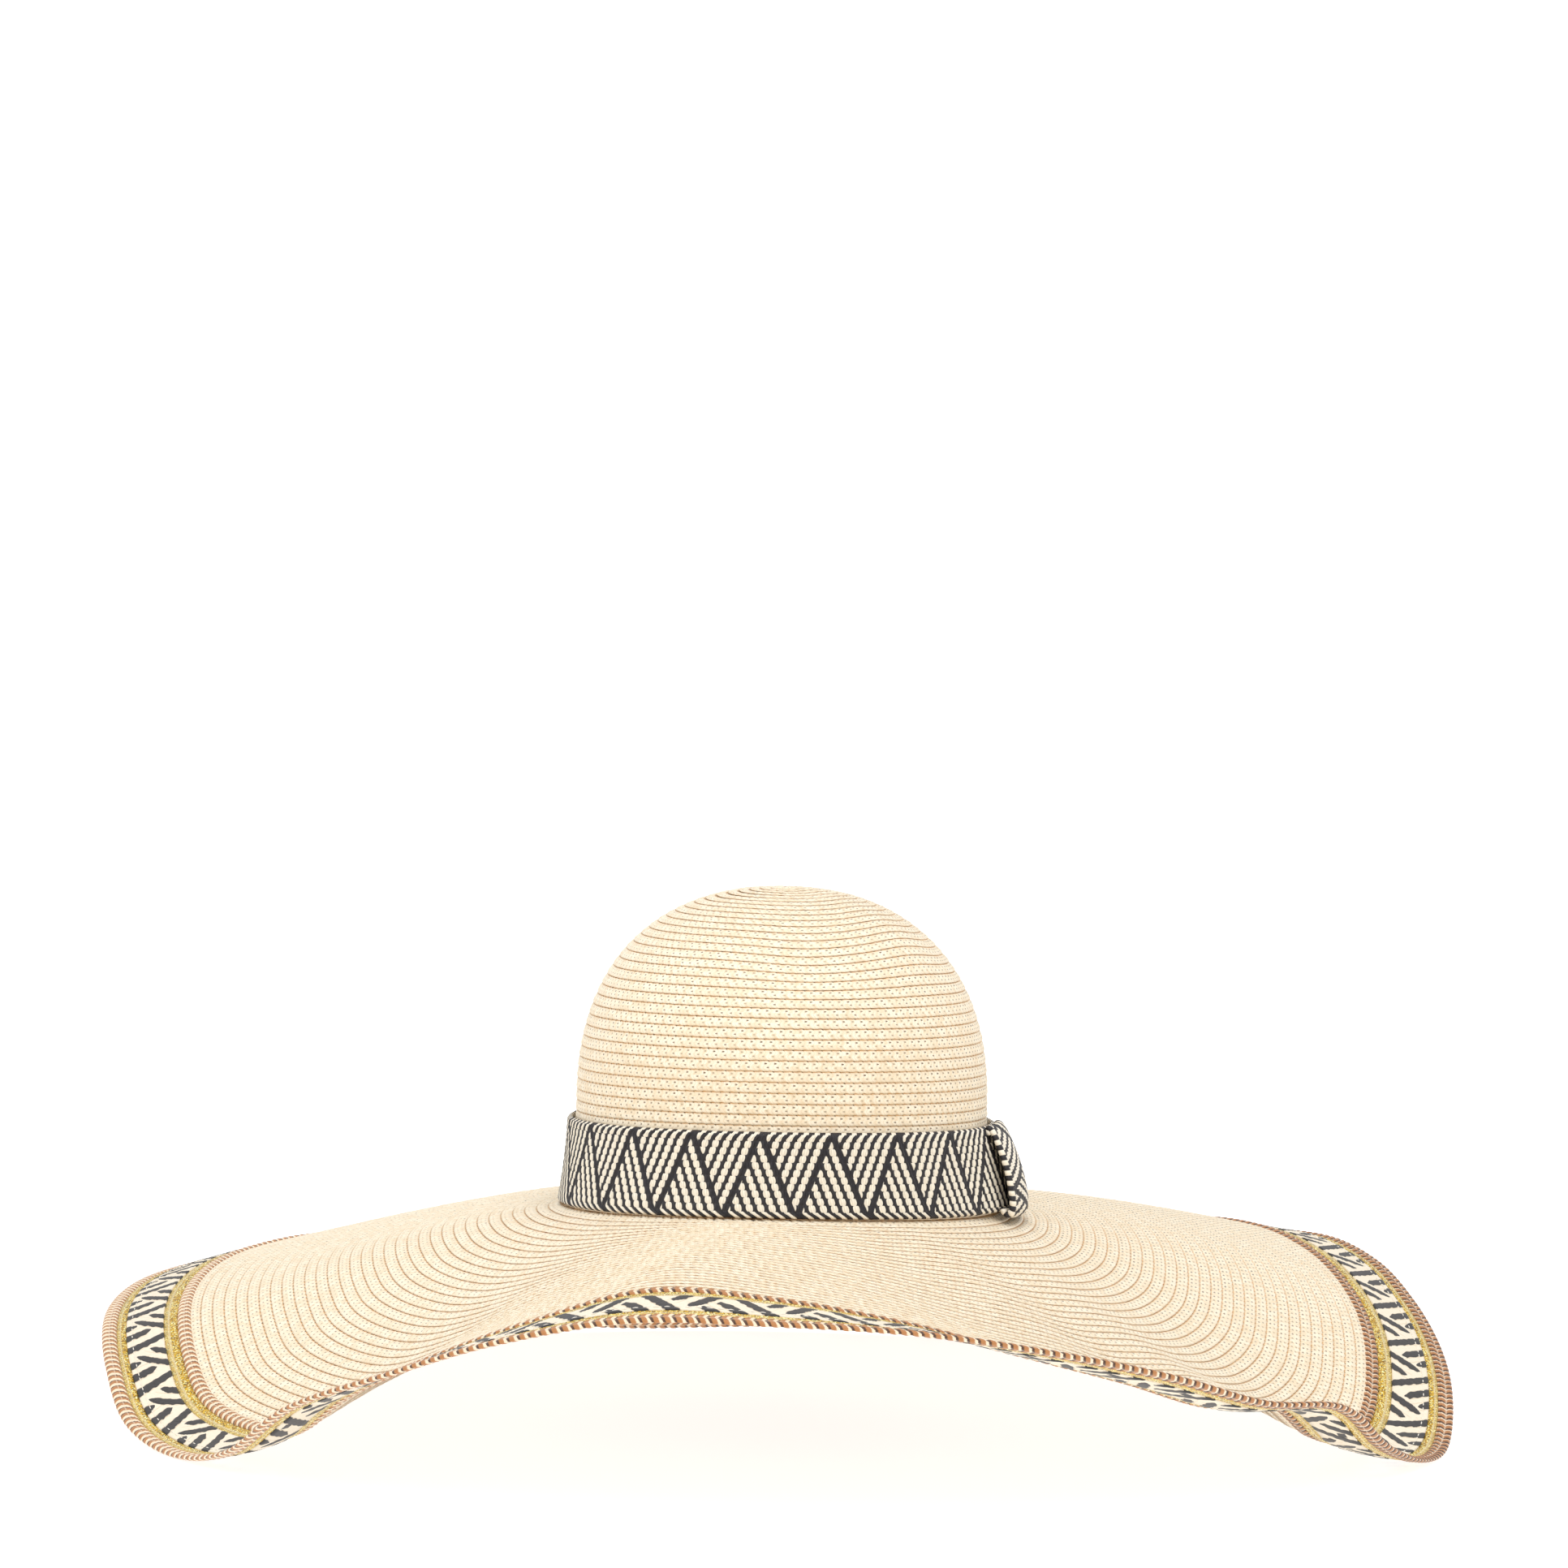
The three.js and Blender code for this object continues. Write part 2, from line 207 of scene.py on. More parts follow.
def crown_profile(inside):
    """Heights and half widths from the tip down to the foot, at even steps of arc: a quarter
    of a superellipse, then the wall. inside is how deep under the outer face it runs."""
    turn = np.linspace(math.pi / 2, 0, DOME_STEPS)
    width = (WALL_HALF_WIDTH - inside) * np.cos(turn).clip(0) ** (2 / DOME_POWER)
    rise = (CROWN_HEIGHT - inside - WALL_HEIGHT) * np.sin(turn).clip(0) ** (2 / DOME_POWER)
    down = np.linspace(WALL_HEIGHT, 0, WALL_STEPS)[1:]
    height = np.concatenate([WALL_HEIGHT + rise, down])
    width = np.concatenate([width, wall_half_width(down) - inside])
    mean_ratio = (1 + DEPTH_RATIO) / 2
    step = np.hypot(np.diff(width) * mean_ratio, np.diff(height))
    arc = np.concatenate([[0], np.cumsum(step)])
    even = np.arange(0, arc[-1], GRID_STEP)
    return even, np.interp(even, arc, height), np.interp(even, arc, width), arc[-1]


def brim_points(azimuth, s):
    """Middle of the brim's wall at a distance s from the foot: the slope is the straight-line
    mix of the section's five slopes, and its cosine and sine are summed outwards."""
    table = sections_at(azimuth)
    k = np.clip(np.searchsorted(SLOPES_AT, s, side="right") - 1, 0, len(SLOPES_AT) - 2)
    at = np.array(SLOPES_AT)
    share = (s - at[k]) / (at[k + 1] - at[k])
    slopes = np.radians(table[:, 1 + k] * (1 - share) + table[:, 2 + k] * share)
    middle = (slopes[:, 1:] + slopes[:, :-1]) / 2
    steps = np.diff(s)[None] * table[:, :1]
    start = np.zeros((len(azimuth), 1))
    run = np.concatenate([start, np.cumsum(np.cos(middle) * steps, 1)], 1)
    drop = np.concatenate([start, np.cumsum(np.sin(middle) * steps, 1)], 1)
    turn = np.radians(azimuth)[:, None]
    away = np.stack([DEPTH_RATIO * np.cos(turn), np.sin(turn)], -1)
    away /= np.linalg.norm(away, axis=-1, keepdims=True)
    foot = crown_points(azimuth[:, None], 0.0, FOOT_HALF_WIDTH)
    points = np.repeat(foot, len(s), 1)
    points[..., :2] += away * run[..., None]
    points[..., 2] -= drop
    return points


class Skin:
    """The middle of the hat's wall from the tip to the edge of the brim, as a grid of points
    and normals over azimuth and arc, read between its points by straight-line mixing."""

    def __init__(self):
        azimuth = np.arange(0, 360, GRID_TURN)
        arc, height, width, length = crown_profile(WALL / 2)
        self.foot_arc = length
        on_crown = arc < length - JOIN
        crown = crown_points(azimuth[:, None], height[None, on_crown], width[None, on_crown])
        s = np.arange(0, SLOPES_AT[-1] + GRID_STEP, GRID_STEP)
        brim = brim_points(azimuth, np.minimum(s, SLOPES_AT[-1]))
        on_brim = s > JOIN / 2
        self.arc = np.concatenate([arc[on_crown], length + s[on_brim]])
        points = np.concatenate([crown, brim[:, on_brim]], 1)
        first, last = on_crown.sum() - FOLD_REACH, on_crown.sum() + FOLD_REACH
        for _ in range(FOLD_ROUNDS):
            before = points[:, first - 1 : last - 1]
            after = points[:, first + 1 : last + 1]
            points[:, first:last] = (before + 2 * points[:, first:last] + after) / 4
        self.points = points
        around = np.roll(points, -1, 0) - np.roll(points, 1, 0)
        along = np.gradient(points, axis=1)
        normals = np.cross(along, around)
        normals[:, 0] = (0, 0, 1)
        self.normals = normals / np.linalg.norm(normals, axis=-1, keepdims=True)
        self.around = np.linalg.norm(around, axis=-1) / (2 * GRID_TURN)
        outward = along / np.gradient(self.arc)[None, :, None]
        self.skew = -(around * outward).sum(-1) / (self.around**2 * 2 * GRID_TURN)
        self.skew[:, self.arc < length] = 0

    def _mix(self, grid, azimuth, arc):
        i = (azimuth % 360) / GRID_TURN
        j = np.interp(arc, self.arc, np.arange(len(self.arc)))
        i0 = np.floor(i).astype(int)
        j0 = np.minimum(np.floor(j).astype(int), len(self.arc) - 2)
        a, b = i - i0, j - j0
        if grid.ndim == 3:
            a, b = a[..., None], b[..., None]
        i0, i1 = i0 % len(grid), (i0 + 1) % len(grid)
        near = grid[i0, j0] * (1 - a) + grid[i1, j0] * a
        far = grid[i0, j0 + 1] * (1 - a) + grid[i1, j0 + 1] * a
        return near * (1 - b) + far * b

    def at(self, azimuth, arc, off):
        """Points at these azimuths and arcs, off the middle of the wall by so much."""
        azimuth, arc, off = np.broadcast_arrays(azimuth, arc, off)
        normal = self._mix(self.normals, azimuth, arc)
        normal = normal / np.linalg.norm(normal, axis=-1, keepdims=True)
        return self._mix(self.points, azimuth, arc) + normal * off[..., None]

    def square(self, azimuth, arc, across):
        """Change of azimuth that keeps a step across a row square to the row."""
        azimuth, arc, across = np.broadcast_arrays(azimuth, arc, across)
        return self._mix(self.skew, azimuth, arc) * across

    def per_degree(self, azimuth, arc):
        """Millimetres along a row for each degree of azimuth."""
        return self._mix(self.around, *np.broadcast_arrays(azimuth, arc))


skin = Skin()


def leaned(points):
    """Points turned as the hat leans: to the side about Y, then back about X."""
    x, y, z = points[..., 0], points[..., 1], points[..., 2]
    c, s = math.cos(LEAN_SIDE), math.sin(LEAN_SIDE)
    x, z = x * c + z * s, z * c - x * s
    c, s = math.cos(LEAN_BACK), math.sin(LEAN_BACK)
    return np.stack([x, y * c + z * s, z * c - y * s], -1)


def find_foot():
    """Place of the hat's own origin in the row frame, in millimetres: the middle of the crown's
    box there against the middle of its foot here, and the two tips against each other."""
    azimuth = np.arange(-180, 180, CROWN_FACET)[:, None]
    foot = crown_points(azimuth, np.array([[-CROWN_SINKS]]), FOOT_HALF_WIDTH)
    foot = leaned(foot).reshape(-1, 3)
    tip = leaned(np.array([0, 0, CROWN_HEIGHT]))
    low, high = (np.array(corner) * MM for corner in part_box("crown"))
    x, y, _ = (low + high - foot.min(0) - foot.max(0)) / 2
    return np.array([x, y, high[2] - tip[2]])


FOOT = find_foot()


def placed(points):
    """Points of the hat's own frame, in the row frame and in metres."""
    return (leaned(points) + FOOT) / MM


# Meshes

def woven_mesh(name, points, along, across, ring=False):
    """A piece from a grid of points: rows along it, and columns that close round its section.
    ring joins the last row to the first; otherwise both ends are closed with a face. along
    and across are the weave's own coordinates; across has one value more, where the section
    closes."""
    rows, columns = points.shape[:2]
    i = np.arange(rows if ring else rows - 1)[:, None]
    j = np.arange(columns)[None]
    i, j = np.broadcast_arrays(i, j)
    i2, j2 = (i + 1) % rows, (j + 1) % columns
    corners = np.stack([i * columns + j, i * columns + j2, i2 * columns + j2, i2 * columns + j], -1)
    last = along[-1] + (along[-1] - along[-2])
    u_rows = np.concatenate([along, [last]]) if ring else along
    u = np.stack([u_rows[i], u_rows[i], u_rows[i + 1], u_rows[i + 1]], -1)
    v = np.stack([across[j], across[j + 1], across[j + 1], across[j]], -1)
    corners, u, v = corners.reshape(-1), u.reshape(-1), v.reshape(-1)
    sizes = np.full(len(corners) // 4, 4)
    if not ring:
        first = np.arange(columns)[::-1]
        end = (rows - 1) * columns + np.arange(columns)
        corners = np.concatenate([corners, first, end])
        u = np.concatenate([u, np.full(columns, along[0]), np.full(columns, along[-1])])
        v = np.concatenate([v, across[:columns][::-1], across[:columns]])
        sizes = np.concatenate([sizes, [columns, columns]])
    return solid_mesh(name, placed(points).reshape(-1, 3), corners, sizes, u, v)


def solid_mesh(name, vertices, corners, sizes, u, v):
    """Mesh object of these vertices and faces, with its weave coordinates as a UV map."""
    mesh = bpy.data.meshes.new(name)
    mesh.vertices.add(len(vertices))
    mesh.vertices.foreach_set("co", vertices.astype(np.float32).ravel())
    mesh.loops.add(len(corners))
    mesh.loops.foreach_set("vertex_index", corners.astype(np.int32))
    mesh.polygons.add(len(sizes))
    starts = np.concatenate([[0], np.cumsum(sizes)[:-1]])
    mesh.polygons.foreach_set("loop_start", starts.astype(np.int32))
    mesh.polygons.foreach_set("use_smooth", np.ones(len(sizes), bool))
    weave = mesh.uv_layers.new(name="weave")
    weave.uv.foreach_set("vector", np.stack([u, v], -1).astype(np.float32).ravel())
    mesh.update(calc_edges=True)
    mesh.validate()
    piece = bpy.data.objects.new(name, mesh)
    bpy.context.scene.collection.objects.link(piece)
    return piece


def finish_piece(piece, material, slot, *nodes):
    """Gives a piece its material, and says what it rides on and which nodes it stands for."""
    piece.data.materials.append(material)
    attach(piece, "root")
    if nodes:
        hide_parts(*nodes)
    return piece


# Shader nodes

class Weave:
    """Short calls that place and join the nodes of one node tree."""

    def __init__(self, tree):
        self.tree = tree

    def place(self, kind, settings=(), **inputs):
        """A node of this kind, with its settings and with values or sockets for its inputs."""
        node = self.tree.nodes.new(kind)
        for key, value in dict(settings).items():
            setattr(node, key, value)
        for key, value in inputs.items():
            self.join(value, node.inputs[key])
        return node

    def use(self, group, **inputs):
        """Places a node group. Gives its outputs."""
        return tuple(self.place("ShaderNodeGroup", {"node_tree": group}, **inputs).outputs)

    def join(self, value, socket):
        if isinstance(value, bpy.types.NodeSocket):
            self.tree.links.new(value, socket)
        else:
            socket.default_value = value

    def math(self, operation, *values, clamp=False):
        node = self.tree.nodes.new("ShaderNodeMath")
        node.operation = operation
        node.use_clamp = clamp
        for value, socket in zip(values, node.inputs):
            self.join(value, socket)
        return node.outputs[0]

    def times(self, product, *others):
        for other in others:
            product = self.math("MULTIPLY", product, other)
        return product

    def plus(self, first, second, clamp=False):
        return self.math("ADD", first, second, clamp=clamp)

    def minus(self, first, second):
        return self.math("SUBTRACT", first, second)

    def gap(self, first, second):
        """How far apart two values are."""
        return self.math("ABSOLUTE", self.minus(first, second))

    def smooth(self, value, low, high):
        """0 below low, 1 above high, and a smooth rise between them, or a fall if low is
        above high."""
        node = self.tree.nodes.new("ShaderNodeMapRange")
        node.interpolation_type = "SMOOTHSTEP"
        for entry, socket in zip((value, low, high, 0.0, 1.0), node.inputs):
            self.join(entry, socket)
        return node.outputs[0]

    def near(self, value, centre, reach):
        """1 at the centre, and a smooth fall from a quarter of the reach to the reach."""
        return self.smooth(self.gap(value, centre), reach, reach / 4)

    def blend(self, share, first, second):
        """A number between the first, where share is 0, and the second, where it is 1."""
        return self.plus(first, self.times(self.minus(second, first), share))

    def mix(self, share, first, second):
        """A colour between the first, where share is 0, and the second, where it is 1."""
        node = self.place("ShaderNodeMix", {"data_type": "RGBA"})
        self.join(share, node.inputs[0])
        self.join(first, node.inputs[6])
        self.join(second, node.inputs[7])
        return node.outputs[2]

    def layers(self, tone, *covers):
        """Colours laid over the first one in turn, each by its own mask."""
        for mask, cover in covers:
            tone = self.mix(mask, tone, cover)
        return tone

    def vector(self, x, y):
        return self.place("ShaderNodeCombineXYZ", X=x, Y=y).outputs[0]


def colour(red, green, blue):
    """A colour from its screen values, 0 to 255, as the linear values that nodes take."""
    values = np.array([red, green, blue]) / 255
    low = values / 12.92
    high = ((values + 0.055) / 1.055) ** 2.4
    return (*np.where(values <= 0.04045, low, high), 1.0)


def new_material(name, roughness, sheen=0.0):
    """A material with a plain shader. Gives the material, its nodes and the shader."""
    material = bpy.data.materials.new(name)
    material.use_nodes = True
    tree = material.node_tree
    shader = tree.nodes["Principled BSDF"]
    shader.inputs["Roughness"].default_value = roughness
    shader.inputs["Sheen Weight"].default_value = sheen
    return material, Weave(tree), shader


def weave_coordinates(weave):
    """The piece's own coordinates: along the braid, and across it."""
    uv = weave.place("ShaderNodeUVMap", {"uv_map": "weave"}).outputs[0]
    parts = weave.place("ShaderNodeSeparateXYZ", Vector=uv)
    return parts.outputs[0], parts.outputs[1]


def new_group(name, inputs, outputs):
    """A node group of plain numbers. Gives the group, its nodes, what goes in and what comes
    out."""
    group = bpy.data.node_groups.new(name, "ShaderNodeTree")
    for way, entries in (("INPUT", inputs), ("OUTPUT", outputs)):
        for entry in entries:
            group.interface.new_socket(entry, in_out=way, socket_type="NodeSocketFloat")
    weave = Weave(group)
    given = weave.place("NodeGroupInput").outputs
    result = weave.place("NodeGroupOutput").inputs
    return group, weave, given, result


def dress(weave, shader, tone, height, strength, depth, roughness=None):
    """Joins a material's colour, its relief with a depth in metres, and its roughness where that
    changes over the surface."""
    weave.join(tone, shader.inputs["Base Color"])
    bump = weave.place("ShaderNodeBump", Strength=strength, Distance=depth, Height=height)
    weave.join(bump.outputs[0], shader.inputs["Normal"])
    if roughness is not None:
        weave.join(roughness, shader.inputs["Roughness"])


def fibre_group():
    """Fibres and flecks for every braid. Fibres is fine noise drawn out along the strand, Strand
    is one random value for each strand, and Flecks are a few darker specks."""
    group, weave, given, result = new_group(
        "strand fibres", ("Along", "Across", "Fineness", "Length"), ("Fibres", "Strand", "Flecks")
    )
    along, across, fineness, length = (given[k] for k in range(4))
    drawn_out = weave.vector(weave.times(along, fineness), weave.times(across, length))
    noise = weave.place("ShaderNodeTexNoise", Vector=drawn_out, Scale=1.0, Detail=3.0)
    weave.join(noise.outputs[0], result[0])
    strand = weave.math("FLOOR", weave.plus(along, 0.5))
    side = weave.math("FLOOR", weave.times(across, 1.6))
    kind = {"noise_dimensions": "2D"}
    white = weave.place("ShaderNodeTexWhiteNoise", kind, Vector=weave.vector(strand, side))
    weave.join(white.outputs[0], result[1])
    wide = weave.vector(weave.times(along, 1.7), weave.times(across, 9.0))
    specks = weave.place("ShaderNodeTexNoise", Vector=wide, Scale=1.0, Detail=2.0)
    weave.join(weave.smooth(specks.outputs[0], 0.62, 0.74), result[2])
    return group


FIBRES = fibre_group()


def fibres(weave, along, across, fineness, length):
    """Places the fibre group. Gives its three values."""
    return weave.use(FIBRES, Along=along, Across=across, Fineness=fineness, Length=length)


# Straw

BRAID_WIDTH = 7.2
BRIM_PITCH = 5.35
CROWN_PITCH = 4.5
LOBE = 4.0
STATIONS = 3
# Each turn starts here, and steps out to its next row over a share of the turn that shrinks
LAY_BACK = 90.0
STEP_SHRINKS = 0.86
STEP_LEAST = 0.14
END_NARROWS = 0.85
TURN_STEPS = 720
STRAND_UNEVEN = 0.045
TIP_HOLE = 0.3
# Millimetres to a degree of azimuth: where the strands lean in full, and the least that counts
FULL_LEAN_PER_DEGREE = 24 / 57.3
LEAST_PER_DEGREE = 0.03
# Weave coordinates: the outer edge underneath, and how far each row's count starts from the last
UNDER_EDGE = 1.12
ROW_OFFSET = 1000
# Places across the braid: its two lines of holes, the golden painted shadow where a row goes under
# the next, and its dark marks of painted shade at each lobe
HOLE_LINES = (0.479, 0.740)
LAP_SHADOW_LINE = 0.26
TICK_SHADE_LINE = 0.28
# Section of the braid from its hidden inner edge over the top to its outer edge, and one place
# underneath. Columns: place across, shift along, height, swing of the height, where in the lobe
# it is highest, and swing of the place
BRAID_SECTION = (
    (-3.60, -1.15, -0.62, 0.03, 0.5, 0.00),
    (-0.15, 1.00, 0.14, 0.09, 0.9, 0.00),
    (1.73, -0.20, 0.26, 0.09, 0.4, 0.00),
    (2.80, 0.50, 0.34, 0.07, 0.5, 0.00),
    (3.48, 1.00, 0.02, 0.13, 0.5, 0.18),
    (3.28, 0.80, -0.32, 0.04, 0.5, 0.15),
)


def straw_rows():
    """Arc of each row's middle: even rows on the crown, and wider even rows on the brim."""
    crown_rows = round(skin.foot_arc / CROWN_PITCH)
    crown_pitch = skin.foot_arc / crown_rows
    crown = crown_pitch * (np.arange(crown_rows) + 0.5)
    brim_rows = round(STRAW_EDGE / BRIM_PITCH)
    brim_pitch = STRAW_EDGE / brim_rows
    brim = skin.foot_arc + brim_pitch * (np.arange(brim_rows) + 0.5)
    pitch = np.concatenate([np.full(crown_rows, crown_pitch), np.full(brim_rows, brim_pitch)])
    return np.concatenate([crown, brim]), pitch, crown_rows


def smooth_rise(x):
    """0 below 0, 1 above 1, and a smooth rise between: three squares less two cubes."""
    x = np.clip(x, 0, 1)
    return x * x * (3 - 2 * x)


def walked(azimuth, arc):
    """Millimetres along a row up to each azimuth, by the trapezium rule."""
    rate = skin.per_degree(azimuth, arc)
    steps = (rate[1:] + rate[:-1]) / 2 * np.diff(azimuth)
    return np.concatenate([[0], np.cumsum(steps)])


def braid_path(rows, first, last):
    """Middle line of the braid over rows first to last: azimuth, arc and scale of width at even
    stations. Each turn starts at the back, where the braid steps out to its next row, over the
    whole turn at the tip and over less and less of it further out. The last row of all runs on
    over its own start and narrows there."""
    arcs, pitch, _ = rows
    azimuths, places, widths = [], [], []
    turn = np.linspace(0, 1, TURN_STEPS + 1)
    numbers = range(first, last + (last == len(arcs)))
    for row in numbers:
        share = max(STEP_LEAST, STEP_SHRINKS**row)
        before = arcs[row - 1] if row else arcs[0] * 0.5
        width_before = pitch[row - 1] if row else pitch[0]
        ease = smooth_rise(turn / share)
        if row < len(arcs):
            arc = before + (arcs[row] - before) * ease
            width = width_before + (pitch[row] - width_before) * ease
            end = 1.0
        else:
            width = pitch[-1] * (1 - END_NARROWS * ease)
            arc = arcs[-1] + (pitch[-1] - width) * BRAID_WIDTH / 2 / BRIM_PITCH
            end = share
        azimuth = LAY_BACK + 360 * turn
        length = walked(azimuth, arc)
        full = np.interp(end, turn, length)
        count = STATIONS * max(2, round(full / LOBE))
        even = np.arange(count + (row == numbers[-1])) / count * full
        azimuths.append(np.interp(even, length, azimuth) + 360 * row)
        places.append(np.interp(even, length, arc))
        widths.append(np.interp(even, length, width))
    return np.concatenate(azimuths), np.concatenate(places), np.concatenate(widths) / BRIM_PITCH


def straw_braid(name, rows, first, last):
    """A run of the sewn braid: its section is carried along its path. Each point of the section
    is moved along, so that the strands lean to and fro over three columns, and swings up and
    down and in and out with the cosine of its place in the lobe. Near the tip the strands lean
    less."""
    azimuth, arc, scale = braid_path(rows, first, last)
    place, shift, height, swing, crest, scallop = np.array(BRAID_SECTION).T
    lobes = np.arange(len(azimuth)) / STATIONS
    wave = np.cos(2 * np.pi * (lobes[:, None] - crest[None]))
    uneven = rng.normal(0, STRAND_UNEVEN, wave.shape)
    across = (place[None] + scallop[None] * wave) * scale[:, None]
    off = height[None] + swing[None] * wave + uneven
    per_degree = np.maximum(skin.per_degree(azimuth, arc), LEAST_PER_DEGREE)[:, None]
    lean = shift[None] * np.clip(per_degree / FULL_LEAN_PER_DEGREE, 0, 1)
    reach = np.maximum(arc[:, None] + across, TIP_HOLE)
    points = skin.at(azimuth[:, None] + lean / per_degree, reach, off)
    weave_across = np.append((place + BRAID_WIDTH / 2) / BRAID_WIDTH, 2.0)
    weave_across[-2] = UNDER_EDGE
    return woven_mesh(name, points, lobes + first * ROW_OFFSET, weave_across)


def straw_material():
    """Pale paper straw. Strands lean to and fro in three columns with faint lines between them, and
    small dark holes dot the two lines where columns meet. Where a row goes under the next one, the
    golden line with a dark mark at each lobe is painted shade: a golden painted shadow below the
    overlapping edge, that edge and the tucked-under part tinted golden as painted shade, and dark
    painted shade where the lobes meet."""
    material, weave, shader = new_material("natural paper straw", 0.55, sheen=0.1)
    along, round_braid = weave_coordinates(weave)
    across = from_side(weave, round_braid)
    fibre, strand, _ = fibres(weave, weave.times(along, 2.0), across, 7.0, 4.0)
    wavy = weave.plus(along, weave.times(weave.minus(fibre, 0.5), 0.10))
    phase = weave.math("FRACT", wavy)
    half = weave.math("FRACT", weave.times(wavy, 2.0))
    seam = weave.minus(0.5, weave.gap(half, 0.5))
    line = weave.smooth(seam, 0.12, 0.02)
    from_lobe = weave.minus(0.5, weave.gap(phase, 0.5))
    at_lobe = weave.smooth(from_lobe, 0.13, 0.03)
    inner_hole = weave.times(weave.near(across, HOLE_LINES[0], 0.08), weave.near(phase, 0.5, 0.20))
    outer_hole = weave.near(across, HOLE_LINES[1], 0.075)
    outer_hole = weave.times(outer_hole, weave.smooth(from_lobe, 0.19, 0.06), 0.85)
    holes = weave.math("MAXIMUM", inner_hole, outer_hole)
    # Painted shade where a row goes under the next: dark marks where the lobes meet, the golden
    # shadow below the overlapping edge, the shaded edge itself and the tucked-under part
    tick_shade = weave.times(at_lobe, weave.near(across, TICK_SHADE_LINE, 0.08))
    lap_shadow = weave.times(weave.near(across, LAP_SHADOW_LINE, 0.07), weave.minus(1.0, weave.times(phase, 0.5)))
    lip_shade = weave.times(weave.smooth(round_braid, 1.04, 1.09), weave.smooth(round_braid, 1.25, 1.12))
    covered_shade = weave.smooth(across, 0.22, 0.16)
    darkness = weave.plus(0.45, weave.times(strand, 0.55), clamp=True)
    tone = weave.layers(
        colour(242, 223, 192),
        (strand, colour(253, 242, 220)),
        (weave.times(weave.smooth(fibre, 0.45, 0.8), 0.4), colour(232, 202, 154)),
        (weave.times(line, 0.32), colour(216, 182, 130)),
        # Golden painted shade where a row goes under the next one
        (weave.times(covered_shade, 0.6), colour(224, 176, 100)),
        (weave.times(lap_shadow, 0.75), colour(234, 168, 70)),
        (weave.times(lip_shade, 0.9), colour(242, 164, 54)),
        (weave.times(holes, darkness), colour(102, 74, 38)),
        # Dark painted shade where the lobes meet, below the overlapping edge and on it
        (weave.times(tick_shade, darkness), colour(110, 72, 30)),
        (weave.times(lip_shade, at_lobe, darkness, 0.7), colour(104, 66, 22)),
    )
    rounded = weave.math("SQRT", weave.times(seam, 2.0))
    height = weave.plus(weave.times(rounded, 0.7), weave.times(fibre, 0.35))
    height = weave.minus(height, weave.times(holes, 0.8))
    roughness = weave.plus(0.48, weave.times(fibre, 0.2))
    dress(weave, shader, tone, height, 0.55, 0.00035, roughness)
    return material


# Trimming braids

RING_STEPS = 1440


def ring_path(arc, pitch):
    """Azimuths of even stations round the hat at this arc, a whole number of pitch apart, and
    the number of them."""
    turn = np.linspace(0, 360, RING_STEPS + 1)
    length = walked(turn, np.full_like(turn, arc))
    count = round(length[-1] / pitch)
    return np.interp(np.arange(count) / count * length[-1], length, turn), count


def ring_braid(name, edges, repeat, stations, section, relief):
    """A braid sewn round the brim between two arcs. section holds the places across it, from
    -1 to 1 over the top and back underneath, with the height there. relief gives the share of
    the half width and of the height, from the phase along and the place across."""
    low, high = (skin.foot_arc + edge for edge in edges)
    middle = (low + high) / 2
    azimuth, repeats = ring_path(middle, repeat)
    lobes = np.arange(repeats * stations) / stations
    azimuth = np.interp(lobes, np.arange(repeats + 1), np.append(azimuth, 360))
    across, height = section.T
    wider, higher = relief(lobes[:, None], across[None], height[None] > 0)
    reach = across[None] * (high - low) / 2 * wider
    azimuth = azimuth[:, None] + skin.square(azimuth[:, None], middle, reach)
    points = skin.at(azimuth, middle + reach, height[None] * higher)
    top = np.argmin(np.abs(across - 1))
    under = np.arange(len(across)) > top
    weave_across = np.where(under, 2 - (across + 1) / 2, (across + 1) / 2)
    return woven_mesh(name, points, lobes, np.append(weave_across, 2.0), ring=True)


def braid_section(places, top, bottom):
    """Section of a flat braid: places over the top, then back underneath, with heights that
    round off at the edges as the square root of one less the square of the place."""
    places = np.array(places)
    round_off = 0.25 + 0.75 * np.sqrt(np.clip(1 - places**2, 0, 1))
    over = np.stack([places, top * round_off], -1)
    under = np.stack([places[::-1], -bottom * round_off[::-1]], -1)
    return np.concatenate([over, under])


def from_side(weave, across):
    """Place across a braid, 0 at its inner edge and 1 at its outer one, on both its faces."""
    return weave.math("PINGPONG", across, 1.0)


# Tan braid: length and lean of a lobe, heights above and below, rows to a lobe, and columns
TAN_LOBE = 4.6
TAN_LEAN = 0.42
TAN_OVER = 1.5
TAN_UNDER = 1.2
TAN_STATIONS = 6
TAN_PLACES = (-1.0, -0.72, -0.38, 0.0, 0.38, 0.72, 1.0)


def plait_relief(lobes, across, top):
    """Lobes of a plait, which lean back towards the middle of the braid on its upper face and
    forward underneath: each swells up quickly and sinks slowly, as the root of a sine of its
    phase, and is creased in the middle."""
    lean = np.where(top, TAN_LEAN, -TAN_LEAN)
    phase = (lobes + lean * (1 - np.abs(across))) % 1
    pillow = np.sin(np.pi * phase**0.75) ** 0.6
    crease = 1 - 0.35 * np.exp(-((across / 0.16) ** 2))
    return 0.93 + 0.09 * pillow, (0.42 + 0.58 * pillow) * crease


def tan_braid(name, edges):
    section = braid_section(TAN_PLACES, TAN_OVER, TAN_UNDER)
    return ring_braid(name, edges, TAN_LOBE, TAN_STATIONS, section, plait_relief)


